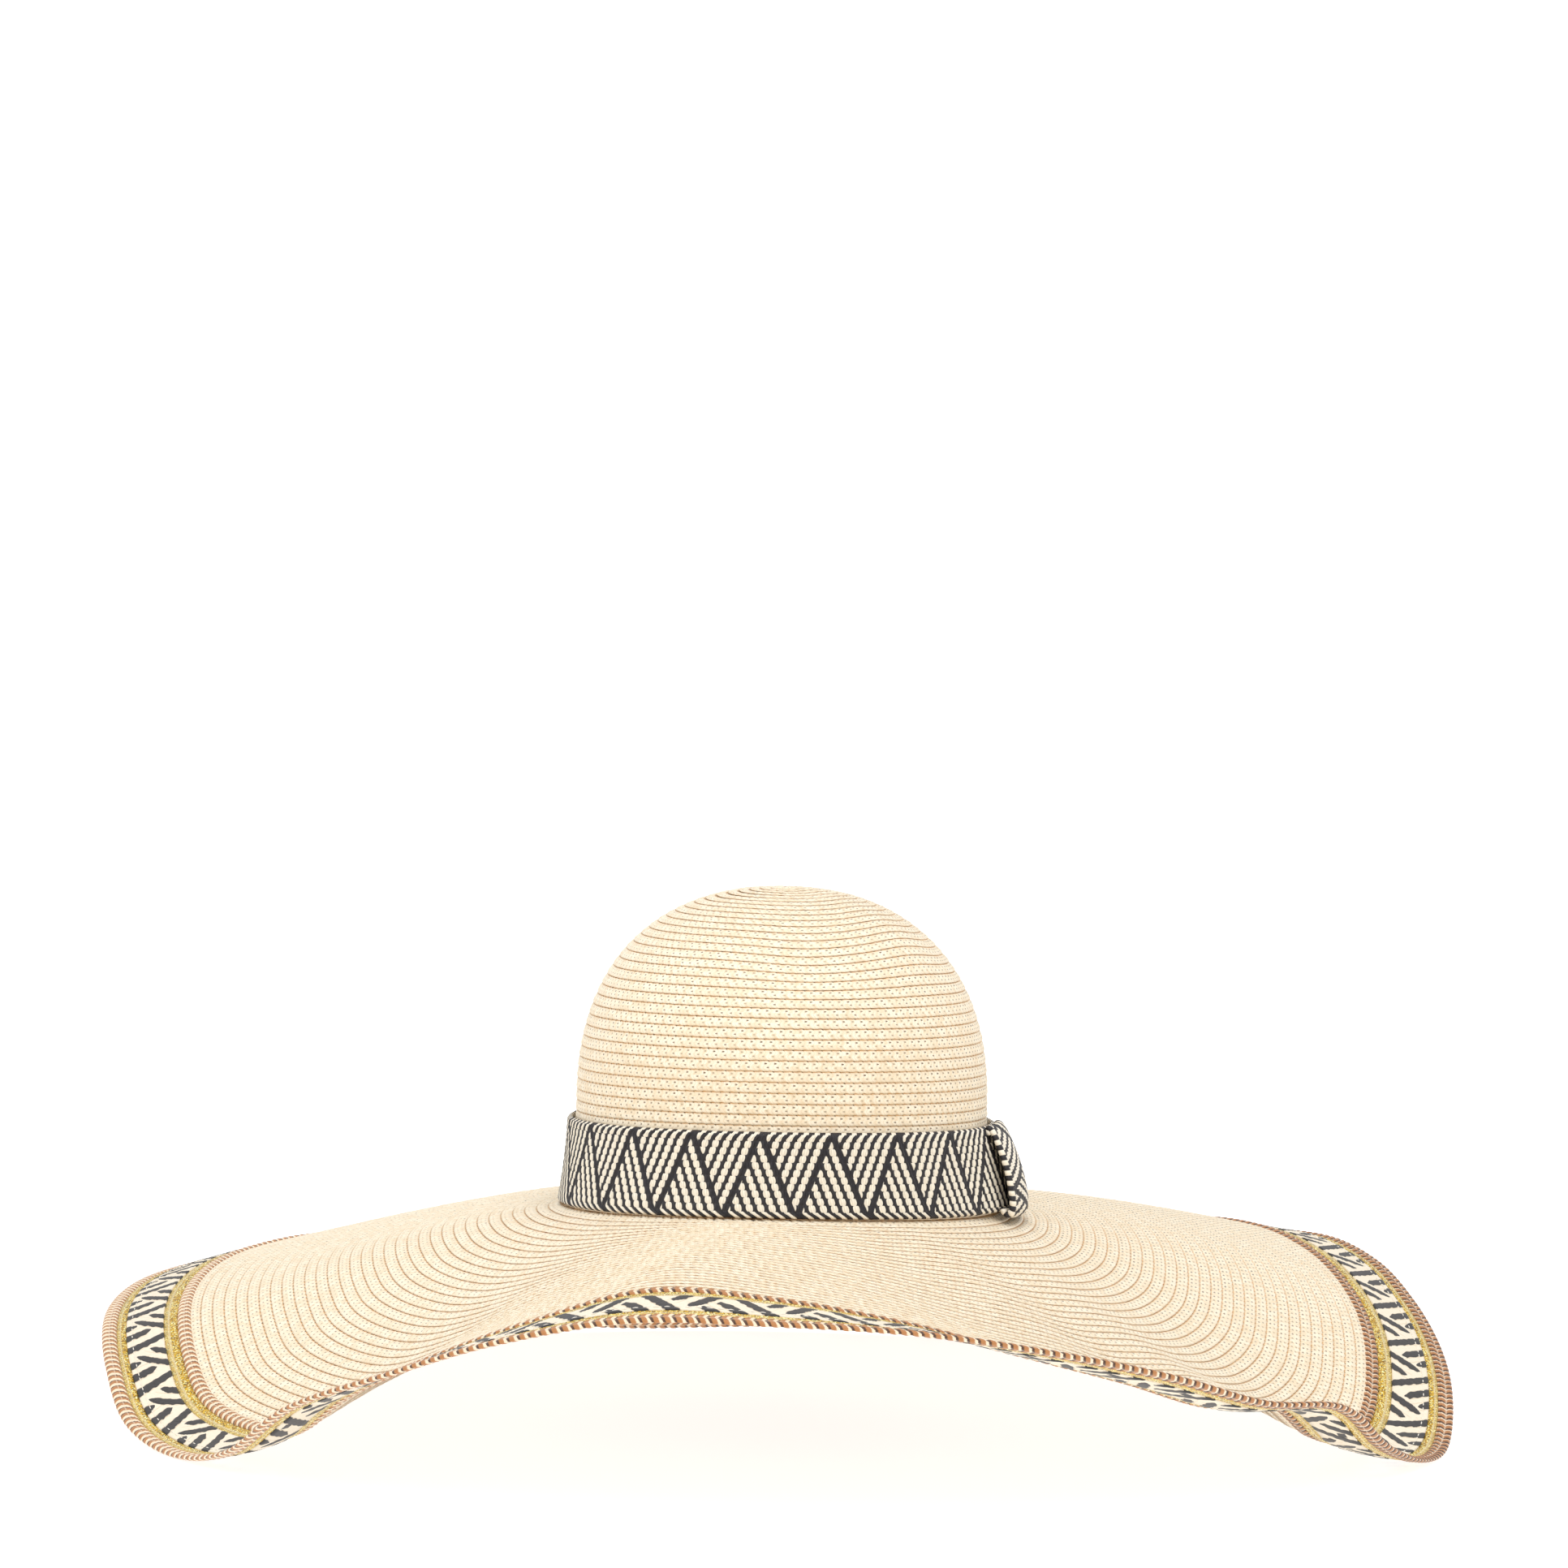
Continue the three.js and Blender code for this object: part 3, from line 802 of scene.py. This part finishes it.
def tan_material():
    """Satin cord in shades of tan. Across each lobe the threads run from dark brown through tan to
    pale cream, with fine lines between the threads. The dark brown at the ends of each lobe is
    partly painted shade between the lobes, and the pale cream is partly a painted highlight; the
    tan and cream are also the satin's own colours."""
    material, weave, shader = new_material("tan satin cord", 0.38, sheen=0.15)
    along, across = weave_coordinates(weave)
    side = weave.gap(weave.times(from_side(weave, across), 2.0), 1.0)
    under = weave.math("GREATER_THAN", across, 1.0)
    facing = weave.minus(1.0, weave.times(under, 2.0))
    lean = weave.times(weave.minus(1.0, side), TAN_LEAN, facing)
    phase = weave.math("FRACT", weave.plus(along, lean))
    fibre = fibres(weave, phase, side, 26.0, 2.0)[0]
    shade = weave.plus(phase, weave.times(weave.minus(fibre, 0.5), 0.34))
    crease = weave.smooth(side, 0.13, 0.05)
    # Partly painted light: dark brown at each end of a lobe is painted shade where it meets the
    # next lobe, and the cream is partly a painted highlight
    tone = weave.layers(
        colour(72, 42, 20),
        (weave.smooth(shade, 0.12, 0.22), colour(186, 124, 68)),
        (weave.smooth(shade, 0.56, 0.70), colour(250, 230, 200)),
        (weave.smooth(shade, 0.90, 0.96), colour(96, 56, 32)),
        (weave.times(crease, 0.5), colour(240, 218, 190)),
    )
    dress(weave, shader, tone, fibre, 0.5, 0.0003, weave.plus(0.30, weave.times(fibre, 0.2)))
    return material


# Gold braid: length of a loop, heights above and below, rows to a loop, flakes, and columns
GOLD_REPEAT = 3.0
GOLD_OVER = 0.95
GOLD_UNDER = 0.85
GOLD_STATIONS = 3
FLAKES_PER_METRE = 1900.0
GOLD_PLACES = (-1.0, -0.6, -0.2, 0.26, 0.62, 1.0)
GOLD_SEAM = 0.62


def gold_relief(repeats, across, top):
    """Two rows of yarn loops beside a sewn seam: small bumps from the product of two slanting
    waves, and a groove along the seam."""
    seam = 1 - 0.35 * np.exp(-(((across - 2 * GOLD_SEAM + 1) / 0.2) ** 2)) * top
    bumps = np.sin(2 * np.pi * (repeats + 0.4 * np.abs(across))) * np.cos(3 * np.pi * across)
    return 1 + 0.03 * np.sin(2 * np.pi * repeats), (0.82 + 0.18 * bumps) * seam


def gold_braid(name, edges):
    section = braid_section(GOLD_PLACES, GOLD_OVER, GOLD_UNDER)
    return ring_braid(name, edges, GOLD_REPEAT, GOLD_STATIONS, section, gold_relief)


def gold_material():
    """Glittering gold yarn: small flakes of random brightness and tilt, with painted glints on some
    flakes and painted shade on the flakes turned away from the light. Outside its seam the yarn is
    mixed with beige."""
    material, weave, shader = new_material("gold glitter yarn", 0.3)
    place = weave.place("ShaderNodeTexCoord").outputs["Object"]
    cells = weave.place("ShaderNodeTexVoronoi", Vector=place, Scale=FLAKES_PER_METRE)
    flake = weave.place("ShaderNodeSeparateColor", Color=cells.outputs["Color"])
    bright, glint, tilt_and_shade = (flake.outputs[k] for k in range(3))
    side = from_side(weave, weave_coordinates(weave)[1])
    outside = weave.smooth(side, GOLD_SEAM - 0.03, GOLD_SEAM + 0.05)
    seam = weave.smooth(weave.gap(side, GOLD_SEAM), 0.11, 0.05)
    tone = weave.layers(
        colour(176, 124, 8),
        (bright, colour(246, 202, 32)),
        # Painted glints, then painted shade on single flakes, as light would catch or miss them
        (weave.smooth(glint, 0.66, 0.84), colour(255, 252, 186)),
        (weave.smooth(tilt_and_shade, 0.76, 0.88), colour(104, 70, 12)),
        (weave.times(outside, 0.4), colour(226, 206, 146)),
        (weave.times(seam, 0.6), colour(236, 220, 176)),
    )
    weave.join(weave.times(bright, 0.4), shader.inputs["Metallic"])
    dress(weave, shader, tone, tilt_and_shade, 0.8, 0.0004, weave.plus(0.22, weave.times(glint, 0.35)))
    return material


# Zigzag braid: length of a repeat, heights above and below, and rows to a repeat
ZIGZAG_REPEAT = 38.0
ZIGZAG_OVER = 0.95
ZIGZAG_UNDER = 0.9
ZIGZAG_STATIONS = 32
# Its dark bars: half width, length and roundness of the tips, lumps, and leans
BAR_HALF = 0.085
BAR_TAPER = 0.17
BAR_TIP = 0.6
BAR_LUMPS = 27.0
OUTER_LEAN = 0.34
INNER_LEAN = 0.29
# Dark bars of a repeat: whether it starts at the outer edge, where it starts, how far across
BARS = (
    (True, 0.165, 1.12),
    (True, 0.565, 0.30),
    (True, 0.845, 0.68),
    (False, 0.255, 0.42),
    (False, 0.555, 0.80),
)
# Dark block underneath: place along the repeat, and across
BLOCK_AT = (0.93, 0.70)


def bar_mask(repeats, place):
    """1 on the dark bars: a bar's middle moves along with the depth from the edge that it
    starts at, and its half width shrinks to nothing at its tip."""
    mask = 0.0
    for from_outer, start, reach in BARS:
        depth = 1 - place if from_outer else place
        lean = OUTER_LEAN if from_outer else INNER_LEAN
        gap = np.abs((repeats - start + lean * depth + 0.5) % 1 - 0.5)
        half = BAR_HALF * np.clip((reach - depth) / BAR_TAPER, 0, 1) ** BAR_TIP
        mask = np.maximum(mask, np.clip((half - gap) / 0.012, 0, 1))
    return mask


def zigzag_relief(repeats, across, top):
    """The dark strips stand a little proud of the flat weave, with a lump where each passes
    over another strip."""
    place = (across + 1) / 2
    lumps = 0.5 + 0.5 * np.sin(2 * np.pi * (repeats * 9 + place * 4.5))
    return 1.0, 0.72 + bar_mask(repeats, place) * 0.22 + lumps * 0.12


def zigzag_braid(name):
    top = np.linspace(-1, 1, 19)
    under = np.linspace(1, -1, 7)
    over = np.stack([top, np.full(19, ZIGZAG_OVER)], -1)
    below = np.stack([under, np.full(7, -ZIGZAG_UNDER)], -1)
    section = np.concatenate([over, below])
    return ring_braid(name, ZIGZAG, ZIGZAG_REPEAT, ZIGZAG_STATIONS, section, zigzag_relief)


def zigzag_material():
    """Cream flat weave with dark bars, as in bar_mask, faint creases beside them darkened with
    painted shade, and a dark block on its underside where each zigzag turns."""
    material, weave, shader = new_material("cream and dark zigzag weave", 0.55, sheen=0.1)
    along, across = weave_coordinates(weave)
    place = from_side(weave, across)
    fibre, _, fleck = fibres(weave, weave.times(along, 22.0), place, 1.6, 9.0)
    wavy = weave.times(weave.minus(fibre, 0.5), 0.03)

    def gap_from(centre):
        """How far along the repeat lies from a centre, the shorter way round."""
        return weave.gap(weave.math("FRACT", weave.plus(weave.minus(along, centre), 0.5)), 0.5)

    dark, crease = 0.0, 0.0
    for from_outer, start, reach in BARS:
        depth = weave.minus(1.0, place) if from_outer else place
        lean = OUTER_LEAN if from_outer else INNER_LEAN
        gap = gap_from(weave.minus(start, weave.times(depth, lean)))
        share = weave.math("DIVIDE", weave.minus(reach, depth), BAR_TAPER, clamp=True)
        lump = weave.times(weave.math("SINE", weave.times(depth, BAR_LUMPS)), 0.007)
        half = weave.times(weave.math("POWER", share, BAR_TIP), weave.plus(lump, BAR_HALF))
        clear = weave.minus(weave.plus(half, wavy), gap)
        bar = weave.times(weave.smooth(clear, 0.0, 0.014), weave.smooth(share, 0.0, 0.08))
        dark = weave.math("MAXIMUM", dark, bar)
        beside = weave.smooth(weave.gap(gap, BAR_HALF), 0.012, 0.003)
        crease = weave.math("MAXIMUM", crease, weave.times(beside, weave.smooth(depth, 0.62, 0.5)))
    block = weave.times(
        weave.smooth(gap_from(BLOCK_AT[0]), 0.07, 0.055),
        weave.smooth(weave.gap(place, BLOCK_AT[1]), 0.12, 0.10),
        weave.math("GREATER_THAN", across, 1.0),
    )
    dark = weave.math("MAXIMUM", dark, block)
    cream = weave.layers(
        colour(236, 220, 192),
        (fibre, colour(250, 240, 222)),
        (weave.times(fleck, 0.3), colour(214, 186, 142)),
        # The creases beside the bars are darkened with painted shade
        (weave.times(crease, 0.4), colour(206, 176, 128)),
    )
    black = weave.mix(fibre, colour(26, 24, 26), colour(62, 58, 58))
    height = weave.plus(weave.times(dark, 0.5), weave.times(fibre, 0.6))
    height = weave.minus(height, weave.times(crease, 0.5))
    dress(weave, shader, weave.mix(dark, cream, black), height, 0.5, 0.0004)
    return material


# Band and loop

BAND_REPEATS = 19
STRIP_REPEAT = 29.2
STRIPES = 3.25
STRIPE_START = 0.25
BEADS = 12.3
BEAD_LEAN = 0.16
BAND_POINT = -95.2
BEND_DEGREES = 2.0
BEND_RISE = 0.09
# Rows round the band, share of its height that is round, least thickness, depth of the weave
BAND_STEPS = 1080
BAND_EDGE = 0.05
BAND_RIM = 0.5
BAND_SUNK = 0.55
BAND_RELIEF = 0.75
# Half widths of a pale strand, as shares of a stripe: at the band's edges, between its beads,
# and what a bead adds. Then how far the dark zigzag line reaches on both sides
EDGE_HALF = 0.235
BEAD_HALF = 0.18
BEAD_BELLY = 0.13
LINE_EDGES = (0.048, 0.072)


def swell(azimuth, height):
    """How far the band swells where its ends overlap: a bell over azimuth, fading upwards."""
    spread = from_azimuth(azimuth, SWELL_AZIMUTH) / SWELL_SPREAD
    return SWELL * np.exp(-(spread**2)) * (1 - np.clip(height / SWELL_TOP, 0, 1) ** 2)


def wall_points(azimuth, height, out):
    """Points off the crown's outer face by so much, level with the hat's own frame."""
    return crown_points(azimuth, height, wall_half_width(height) + out)


def strand_place(repeats, rise):
    """Where a point lies in the band's weave: the phase across its strand, the phase along its
    row of beads, and how far it is from the zigzag line. Strands lean one way under the line
    and the other way over it, and each bead stands straighter than its strand."""
    within = repeats % 1
    line = 1 - np.abs(2 * within - 1)
    side = np.where(rise < line, 1, -1)
    bead = (rise * BEADS) % 1 - 0.5
    strand = ((2 * within + side * rise) % 2) * STRIPES - STRIPE_START - side * BEAD_LEAN * bead
    return strand % 1, bead, np.abs(rise - line)


def strand_relief(repeats, rise):
    """Height of the band's weave, 0 to 1: strands rounded by the root of a cosine, pale and
    dark ones alike, beaded along their length."""
    strand, bead, from_line = strand_place(repeats, rise)
    cord = np.sqrt(np.abs(np.cos(2 * np.pi * (strand - 0.5))))
    beaded = 0.6 + 0.4 * np.sqrt(np.clip(1 - (2 * bead) ** 2, 0, 1))
    seam = np.clip(from_line / 0.08, 0.35, 1)
    return cord * beaded * seam


def hat_band(name):
    """The band: a closed ring whose outer face carries the strands and whose edges are round,
    as quarters of a circle. Close to its two edges the strands bend along the band. Its repeats
    are even in the angle of the turn, so they are wider at the front and the back."""
    azimuth = np.linspace(-180, 180, BAND_STEPS + 1)[:-1]
    along = (azimuth - BAND_POINT) * BAND_REPEATS / 360 + 0.5 + BAND_REPEATS
    azimuth = azimuth[:, None]
    rise = np.linspace(1, 0, 49)
    height = BAND_FROM + (BAND_TO - BAND_FROM) * rise
    edge = np.clip(np.minimum(rise, 1 - rise) / BAND_EDGE, 0, 1)
    edge = np.sqrt(1 - (1 - edge) ** 2)
    strands = strand_relief(along[:, None], rise[None])
    thick = BAND_THICK - BAND_SUNK + BAND_RELIEF * strands
    out = BAND_GAP + BAND_RIM + edge[None] * thick + swell(azimuth, height[None]) * edge[None]
    bend = smooth_rise(1 - rise / BEND_RISE) + 0.5 * smooth_rise(1 - (1 - rise) / BEND_RISE)
    front = wall_points(azimuth + BEND_DEGREES * bend[None], height[None], out)
    back_rise = np.array([0.02, 0.5, 0.98])
    back_height = BAND_FROM + (BAND_TO - BAND_FROM) * back_rise
    back = wall_points(azimuth, back_height[None], np.full((1, 3), BAND_GAP))
    points = np.concatenate([front, back], 1)
    return woven_mesh(name, points, along, np.concatenate([rise, back_rise, [1.0]]), ring=True)


def strand_group():
    """The band's weave as colour and height, by the same rules as strand_place: pale beads on
    a dark ground, and a rounded height for every strand."""
    group, weave, given, result = new_group("beaded strands", ("Along", "Rise"), ("Pale", "Height"))
    along, rise = given[0], given[1]
    doubled = weave.times(weave.math("FRACT", along), 2.0)
    line = weave.minus(1.0, weave.gap(doubled, 1.0))
    side = weave.minus(weave.times(weave.math("LESS_THAN", rise, line), 2.0), 1.0)
    bead = weave.minus(weave.math("FRACT", weave.times(rise, BEADS)), 0.5)
    slanted = weave.plus(weave.plus(doubled, weave.times(rise, side)), 2.0)
    strand = weave.times(weave.math("MODULO", slanted, 2.0), STRIPES)
    strand = weave.minus(weave.minus(strand, STRIPE_START), weave.times(bead, side, BEAD_LEAN))
    off_middle = weave.gap(weave.math("FRACT", weave.plus(strand, 1.0)), 0.5)
    doubled_bead = weave.times(bead, 2.0)
    round_bead = weave.minus(1.0, weave.times(doubled_bead, doubled_bead))
    round_bead = weave.math("SQRT", round_bead, clamp=True)
    inside = weave.smooth(weave.gap(rise, 0.5), 0.45, 0.40)
    half = weave.minus(EDGE_HALF, weave.times(inside, EDGE_HALF - BEAD_HALF))
    half = weave.plus(half, weave.times(round_bead, inside, BEAD_BELLY))
    pale = weave.smooth(weave.minus(half, off_middle), -0.02, 0.025)
    pale = weave.times(pale, weave.smooth(weave.gap(rise, line), *LINE_EDGES))
    weave.join(pale, result[0])
    cosine = weave.math("COSINE", weave.times(off_middle, 4 * math.pi))
    cord = weave.math("SQRT", weave.math("ABSOLUTE", cosine))
    weave.join(weave.times(cord, weave.plus(0.5, round_bead)), result[1])
    return group


STRANDS = strand_group()


def dress_beads(weave, shader, pale, height, fibre):
    """Cream where pale and near black elsewhere, with painted shade in the valleys between strands,
    and with the relief of strands and fibres."""
    cream = weave.mix(fibre, colour(248, 232, 206), colour(255, 251, 238))
    black = weave.mix(fibre, colour(14, 12, 16), colour(46, 42, 48))
    # Painted shade in the valleys between strands, where the height is low
    valley_shade = weave.times(weave.smooth(height, 0.45, 0.10), 0.45)
    tone = weave.layers(black, (pale, cream), (valley_shade, colour(92, 78, 64)))
    dress(weave, shader, tone, weave.plus(height, weave.times(fibre, 0.3)), 0.5, 0.0005)


def band_material():
    """Black band with beaded cream strands, on the same zigzag as their relief."""
    material, weave, shader = new_material("black and cream beaded weave", 0.5)
    along, rise = weave_coordinates(weave)
    pale, height = weave.use(STRANDS, Along=along, Rise=rise)
    fibre = fibres(weave, weave.times(along, 30.0), rise, 2.0, 16.0)[0]
    dress_beads(weave, shader, pale, height, fibre)
    return material


# Middle of the folded strip, from behind its top edge over its face and in under its foot:
# height over the crown's foot, and how far it stands off the band
LOOP_ROUTE = (
    (34.0, 0.2), (36.4, 0.4), (36.9, 1.4), (34.8, 2.6), (30.0, 4.0), (24.0, 5.3), (16.0, 6.2),
    (8.0, 6.2), (3.4, 5.4), (1.0, 3.8), (1.4, 1.6), (4.0, 1.0),
)
STRIP_THICK = 2.4
BLOCK = 2.1
LOOP_STEPS = 169
LOOP_ROUNDS = 40
LOOP_GAP = 0.3
EDGE_WEAVE = 0.12


def band_loop(name):
    """The folded strip over the band's ends: a flat section with round edges, carried along its
    route. Its face has the band's strands, and its edges are a row of square beads, each
    rounded by the root of a sine."""
    route = np.array(LOOP_ROUTE)
    knots = np.arange(len(route))
    fine = np.linspace(0, len(route) - 1, LOOP_STEPS)
    middle = np.stack([np.interp(fine, knots, route[:, k]) for k in range(2)], -1)
    for _ in range(LOOP_ROUNDS):
        middle[1:-1] = (middle[:-2] + 2 * middle[1:-1] + middle[2:]) / 4
    heading = np.gradient(middle, axis=0)
    heading /= np.linalg.norm(heading, axis=1, keepdims=True)
    length = np.concatenate([[0], np.cumsum(np.linalg.norm(np.diff(middle, axis=0), axis=1))])
    outward = np.stack([heading[:, 1], -heading[:, 0]], -1)
    edge = np.linspace(-1, 1, 9)[:-1] * math.pi / 2
    face = np.linspace(-1, 1, 41)[:-1]
    back = np.linspace(1, -1, 9)[:-1]
    half = STRIP_THICK / 2
    wide = np.concatenate([edge * 0 - 1, face, edge * 0 + 1, back])
    past = np.concatenate([-np.cos(edge), face * 0, np.cos(edge), back * 0]) * half
    deep = np.concatenate([np.sin(edge), face * 0 + 1, -np.sin(edge), back * 0 - 1])
    across = np.concatenate([
        np.linspace(-EDGE_WEAVE, 0, 9)[:-1],
        (face + 1) / 2,
        np.linspace(1, 1 + EDGE_WEAVE, 9)[:-1],
        1.5 - back * (0.5 - EDGE_WEAVE),
    ])
    on_edge = (across < 0) | ((across > 1) & (across < 1 + EDGE_WEAVE))
    on_face = (across >= 0) & (across <= 1)
    beads = np.sqrt(np.abs(np.sin(math.pi * length / BLOCK)))[:, None]
    strands = strand_relief(length[:, None] / STRIP_REPEAT, across[None])
    thicker = np.where(on_edge, 0.9 + 0.22 * beads, np.where(on_face, 0.86 + 0.34 * strands, 0.9))
    height = middle[:, :1] + outward[:, :1] * deep * half * thicker
    out = middle[:, 1:] + outward[:, 1:] * deep * half * thicker
    azimuth = (LOOP_FROM + LOOP_TO) / 2 + wide * (LOOP_TO - LOOP_FROM) / 2
    azimuth = azimuth + past * thicker / MM_PER_DEGREE
    height, out, azimuth = np.broadcast_arrays(height, out, azimuth)
    base = BAND_GAP + BAND_THICK + LOOP_GAP
    points = wall_points(azimuth, height, base + out + swell(azimuth, height))
    return woven_mesh(name, points[:, ::-1], length, np.append(across[::-1], -0.3))


def loop_material():
    """The band's weave on the strip's face, and dark and cream beads by turns on its edges."""
    material, weave, shader = new_material("folded beaded strip", 0.5)
    along, across = weave_coordinates(weave)
    repeats = weave.math("DIVIDE", along, STRIP_REPEAT)
    face_pale, face_height = weave.use(STRANDS, Along=repeats, Rise=across)
    fibre = fibres(weave, along, across, 2.0, 16.0)[0]
    blocks = weave.math("SINE", weave.times(along, math.pi / BLOCK))
    block_height = weave.math("SQRT", weave.math("ABSOLUTE", blocks))
    on_edge = weave.smooth(weave.gap(across, 0.5), 0.47, 0.50)
    pale = weave.blend(on_edge, face_pale, weave.smooth(blocks, -0.12, 0.12))
    height = weave.blend(on_edge, face_height, block_height)
    dress_beads(weave, shader, pale, height, fibre)
    return material


# Stitches

# Row of stitches on the zigzag braid: place, height, pitch, length and thickness
STITCH_ROW = (197.2, 1.0, 4.2, 3.4, 0.5)
STITCH_SINKS = 0.5
SPINDLE = (0.25, 0.9, 1.0, 0.9, 0.25)
SPINDLE_SIDES = 6
TWISTS_PER_METRE = 1800.0


def stitch_line(name, arc, off, pitch, length, thick):
    """A line of machine stitches round the brim as one mesh of short round bars, each a closed
    six-sided spindle laid along the row, whose ends sink into the weave."""
    azimuth, count = ring_path(skin.foot_arc + arc, pitch)
    rings, sides = len(SPINDLE), SPINDLE_SIDES
    along = np.linspace(-0.5, 0.5, rings)
    radius = np.array(SPINDLE)[None, :, None] * thick / 2
    turn = np.arange(sides) / sides * 2 * math.pi
    per_degree = skin.per_degree(azimuth, np.full(count, skin.foot_arc + arc))
    at = azimuth[:, None, None] + along[None, :, None] * length / per_degree[:, None, None]
    place = skin.foot_arc + arc + radius * np.cos(turn)[None, None]
    sunk = np.abs(along)[None, :, None] * STITCH_SINKS
    lift = off + radius * np.sin(turn)[None, None] - sunk
    points = placed(skin.at(*np.broadcast_arrays(at, place, lift)))
    k = np.arange(count)[:, None, None] * rings * sides
    i, j = np.meshgrid(np.arange(rings - 1), np.arange(sides), indexing="ij")
    j2 = (j + 1) % sides
    quads = [i * sides + j, (i + 1) * sides + j, (i + 1) * sides + j2, i * sides + j2]
    quads = np.stack(quads, -1).reshape(1, -1, 4) + k
    last = (rings - 1) * sides
    ends = np.stack([np.arange(sides), last + np.arange(sides)[::-1]])[None] + k
    corners = np.concatenate([quads.ravel(), ends.ravel()])
    sizes = np.concatenate([np.full(last * count, 4), np.full(2 * count, sides)])
    zero = np.zeros(len(corners))
    return solid_mesh(name, points.reshape(-1, 3), corners, sizes, zero, zero)


def thread_material():
    """Pale sewing thread with a fine twist."""
    material, weave, shader = new_material("pale sewing thread", 0.5, sheen=0.1)
    place = weave.place("ShaderNodeTexCoord").outputs["Object"]
    noise = weave.place("ShaderNodeTexNoise", Vector=place, Scale=TWISTS_PER_METRE, Detail=1.0)
    tone = weave.mix(noise.outputs[0], colour(232, 222, 204), colour(252, 248, 238))
    dress(weave, shader, tone, noise.outputs[0], 0.3, 0.0002)
    return material


# The pieces

# Rows of the brim after which a new piece of the braid starts
BRIM_CUTS = (13, 23)


def build_hat():
    straw = straw_material()
    rows = straw_rows()
    crown_rows = rows[2]
    finish_piece(straw_braid("crown_braid", rows, 0, crown_rows), straw, "straw", "crown")
    cuts = [crown_rows, *(crown_rows + cut for cut in BRIM_CUTS), len(rows[0])]
    for number, (first, last) in enumerate(zip(cuts, cuts[1:]), 1):
        finish_piece(straw_braid(f"brim_braid_{number}", rows, first, last), straw, "straw", "brim")
    tan, gold = tan_material(), gold_material()
    finish_piece(tan_braid("inner_tan_plait", INNER_TAN), tan, "tan_braid", "inner_tan_braid")
    finish_piece(tan_braid("outer_tan_plait", OUTER_TAN), tan, "tan_braid", "outer_tan_braid")
    finish_piece(gold_braid("inner_gold_yarn", INNER_GOLD), gold, "gold_braid", "inner_gold_braid")
    finish_piece(gold_braid("outer_gold_yarn", OUTER_GOLD), gold, "gold_braid", "outer_gold_braid")
    finish_piece(zigzag_braid("zigzag_weave"), zigzag_material(), "zigzag_weave", "zigzag_braid")
    finish_piece(hat_band("band_weave"), band_material(), "band_weave", "hat_band")
    finish_piece(band_loop("loop_strip"), loop_material(), "band_weave", "band_loop")
    stitches = stitch_line("zigzag_stitches", *STITCH_ROW)
    finish_piece(stitches, thread_material(), "zigzag_weave")


# Stage

FLOOR_RADIUS = 60.0
FLOOR_SIDES = 96
ROOM_LIGHT = 0.76
# Soft lights: name, place, size in metres, power in watts
LIGHTS = (
    ("front light", (0.4, -2.6, 2.6), 1.8, 24),
    ("left light", (-2.6, -0.6, 1.5), 1.2, 9),
    ("top light", (0.2, -0.4, 3.2), 2.2, 34),
)
LIGHT_AIM = (0, 0, 0.1)


def floor():
    """A wide round pale floor under the hat, which gives off light of its own, so that it
    renders white."""
    turn = np.linspace(0, 2 * math.pi, FLOOR_SIDES, endpoint=False)
    rim = np.stack([np.cos(turn) * FLOOR_RADIUS, np.sin(turn) * FLOOR_RADIUS, turn * 0], -1)
    mesh = bpy.data.meshes.new("floor")
    mesh.from_pydata(rim, [], [tuple(range(FLOOR_SIDES))])
    piece = bpy.data.objects.new("floor", mesh)
    bpy.context.scene.collection.objects.link(piece)
    material, _, shader = new_material("pale floor", 0.8)
    shader.inputs["Base Color"].default_value = (0.45, 0.45, 0.45, 1)
    shader.inputs["Emission Color"].default_value = (1, 1, 1, 1)
    shader.inputs["Emission Strength"].default_value = 0.8
    mesh.materials.append(material)


def light():
    """A white room with large soft lights in front, at the left and above."""
    world = bpy.data.worlds.new("white room")
    world.use_nodes = True
    background = world.node_tree.nodes["Background"]
    background.inputs[0].default_value = (1, 1, 1, 1)
    background.inputs[1].default_value = ROOM_LIGHT
    bpy.context.scene.world = world
    for name, place, size, power in LIGHTS:
        lamp = bpy.data.lights.new(name, "AREA")
        lamp.size = size
        lamp.energy = power
        holder = bpy.data.objects.new(name, lamp)
        holder.location = place
        aim = Vector(LIGHT_AIM) - Vector(place)
        holder.rotation_euler = aim.to_track_quat("-Z", "Y").to_euler()
        bpy.context.scene.collection.objects.link(holder)
    view = bpy.context.scene.view_settings
    view.view_transform = "Standard"
    view.look = "None"


def camera():
    """The photograph's camera: level with the front, a little above the hat, far away, and
    turned so that the crown's foot falls on its pixel."""
    scale = PIXELS_PER_MM * CAMERA_DISTANCE * MM
    pitch, roll = CAMERA_PITCH, CAMERA_ROLL
    forward = Vector((0, math.cos(pitch), -math.sin(pitch)))
    level_up = Vector((0, math.sin(pitch), math.cos(pitch)))
    level_right = Vector((1, 0, 0))
    right = level_right * math.cos(roll) + level_up * math.sin(roll)
    up = level_up * math.cos(roll) - level_right * math.sin(roll)
    u = (FOOT_PIXEL[0] - PHOTO_SIDE / 2) / scale
    v = (PHOTO_SIDE / 2 - FOOT_PIXEL[1]) / scale
    place = Vector(FOOT / MM) - CAMERA_DISTANCE * (forward + u * right + v * up)
    lens = bpy.data.cameras.new("camera")
    lens.sensor_width = SENSOR
    lens.lens = SENSOR * scale / PHOTO_SIDE
    lens.clip_end = 200
    holder = bpy.data.objects.new("camera", lens)
    axes = Matrix((right, up, -forward)).transposed().to_4x4()
    holder.matrix_world = Matrix.Translation(place) @ axes
    bpy.context.scene.collection.objects.link(holder)
    bpy.context.scene.camera = holder


camera()
floor()
light()
build_hat()
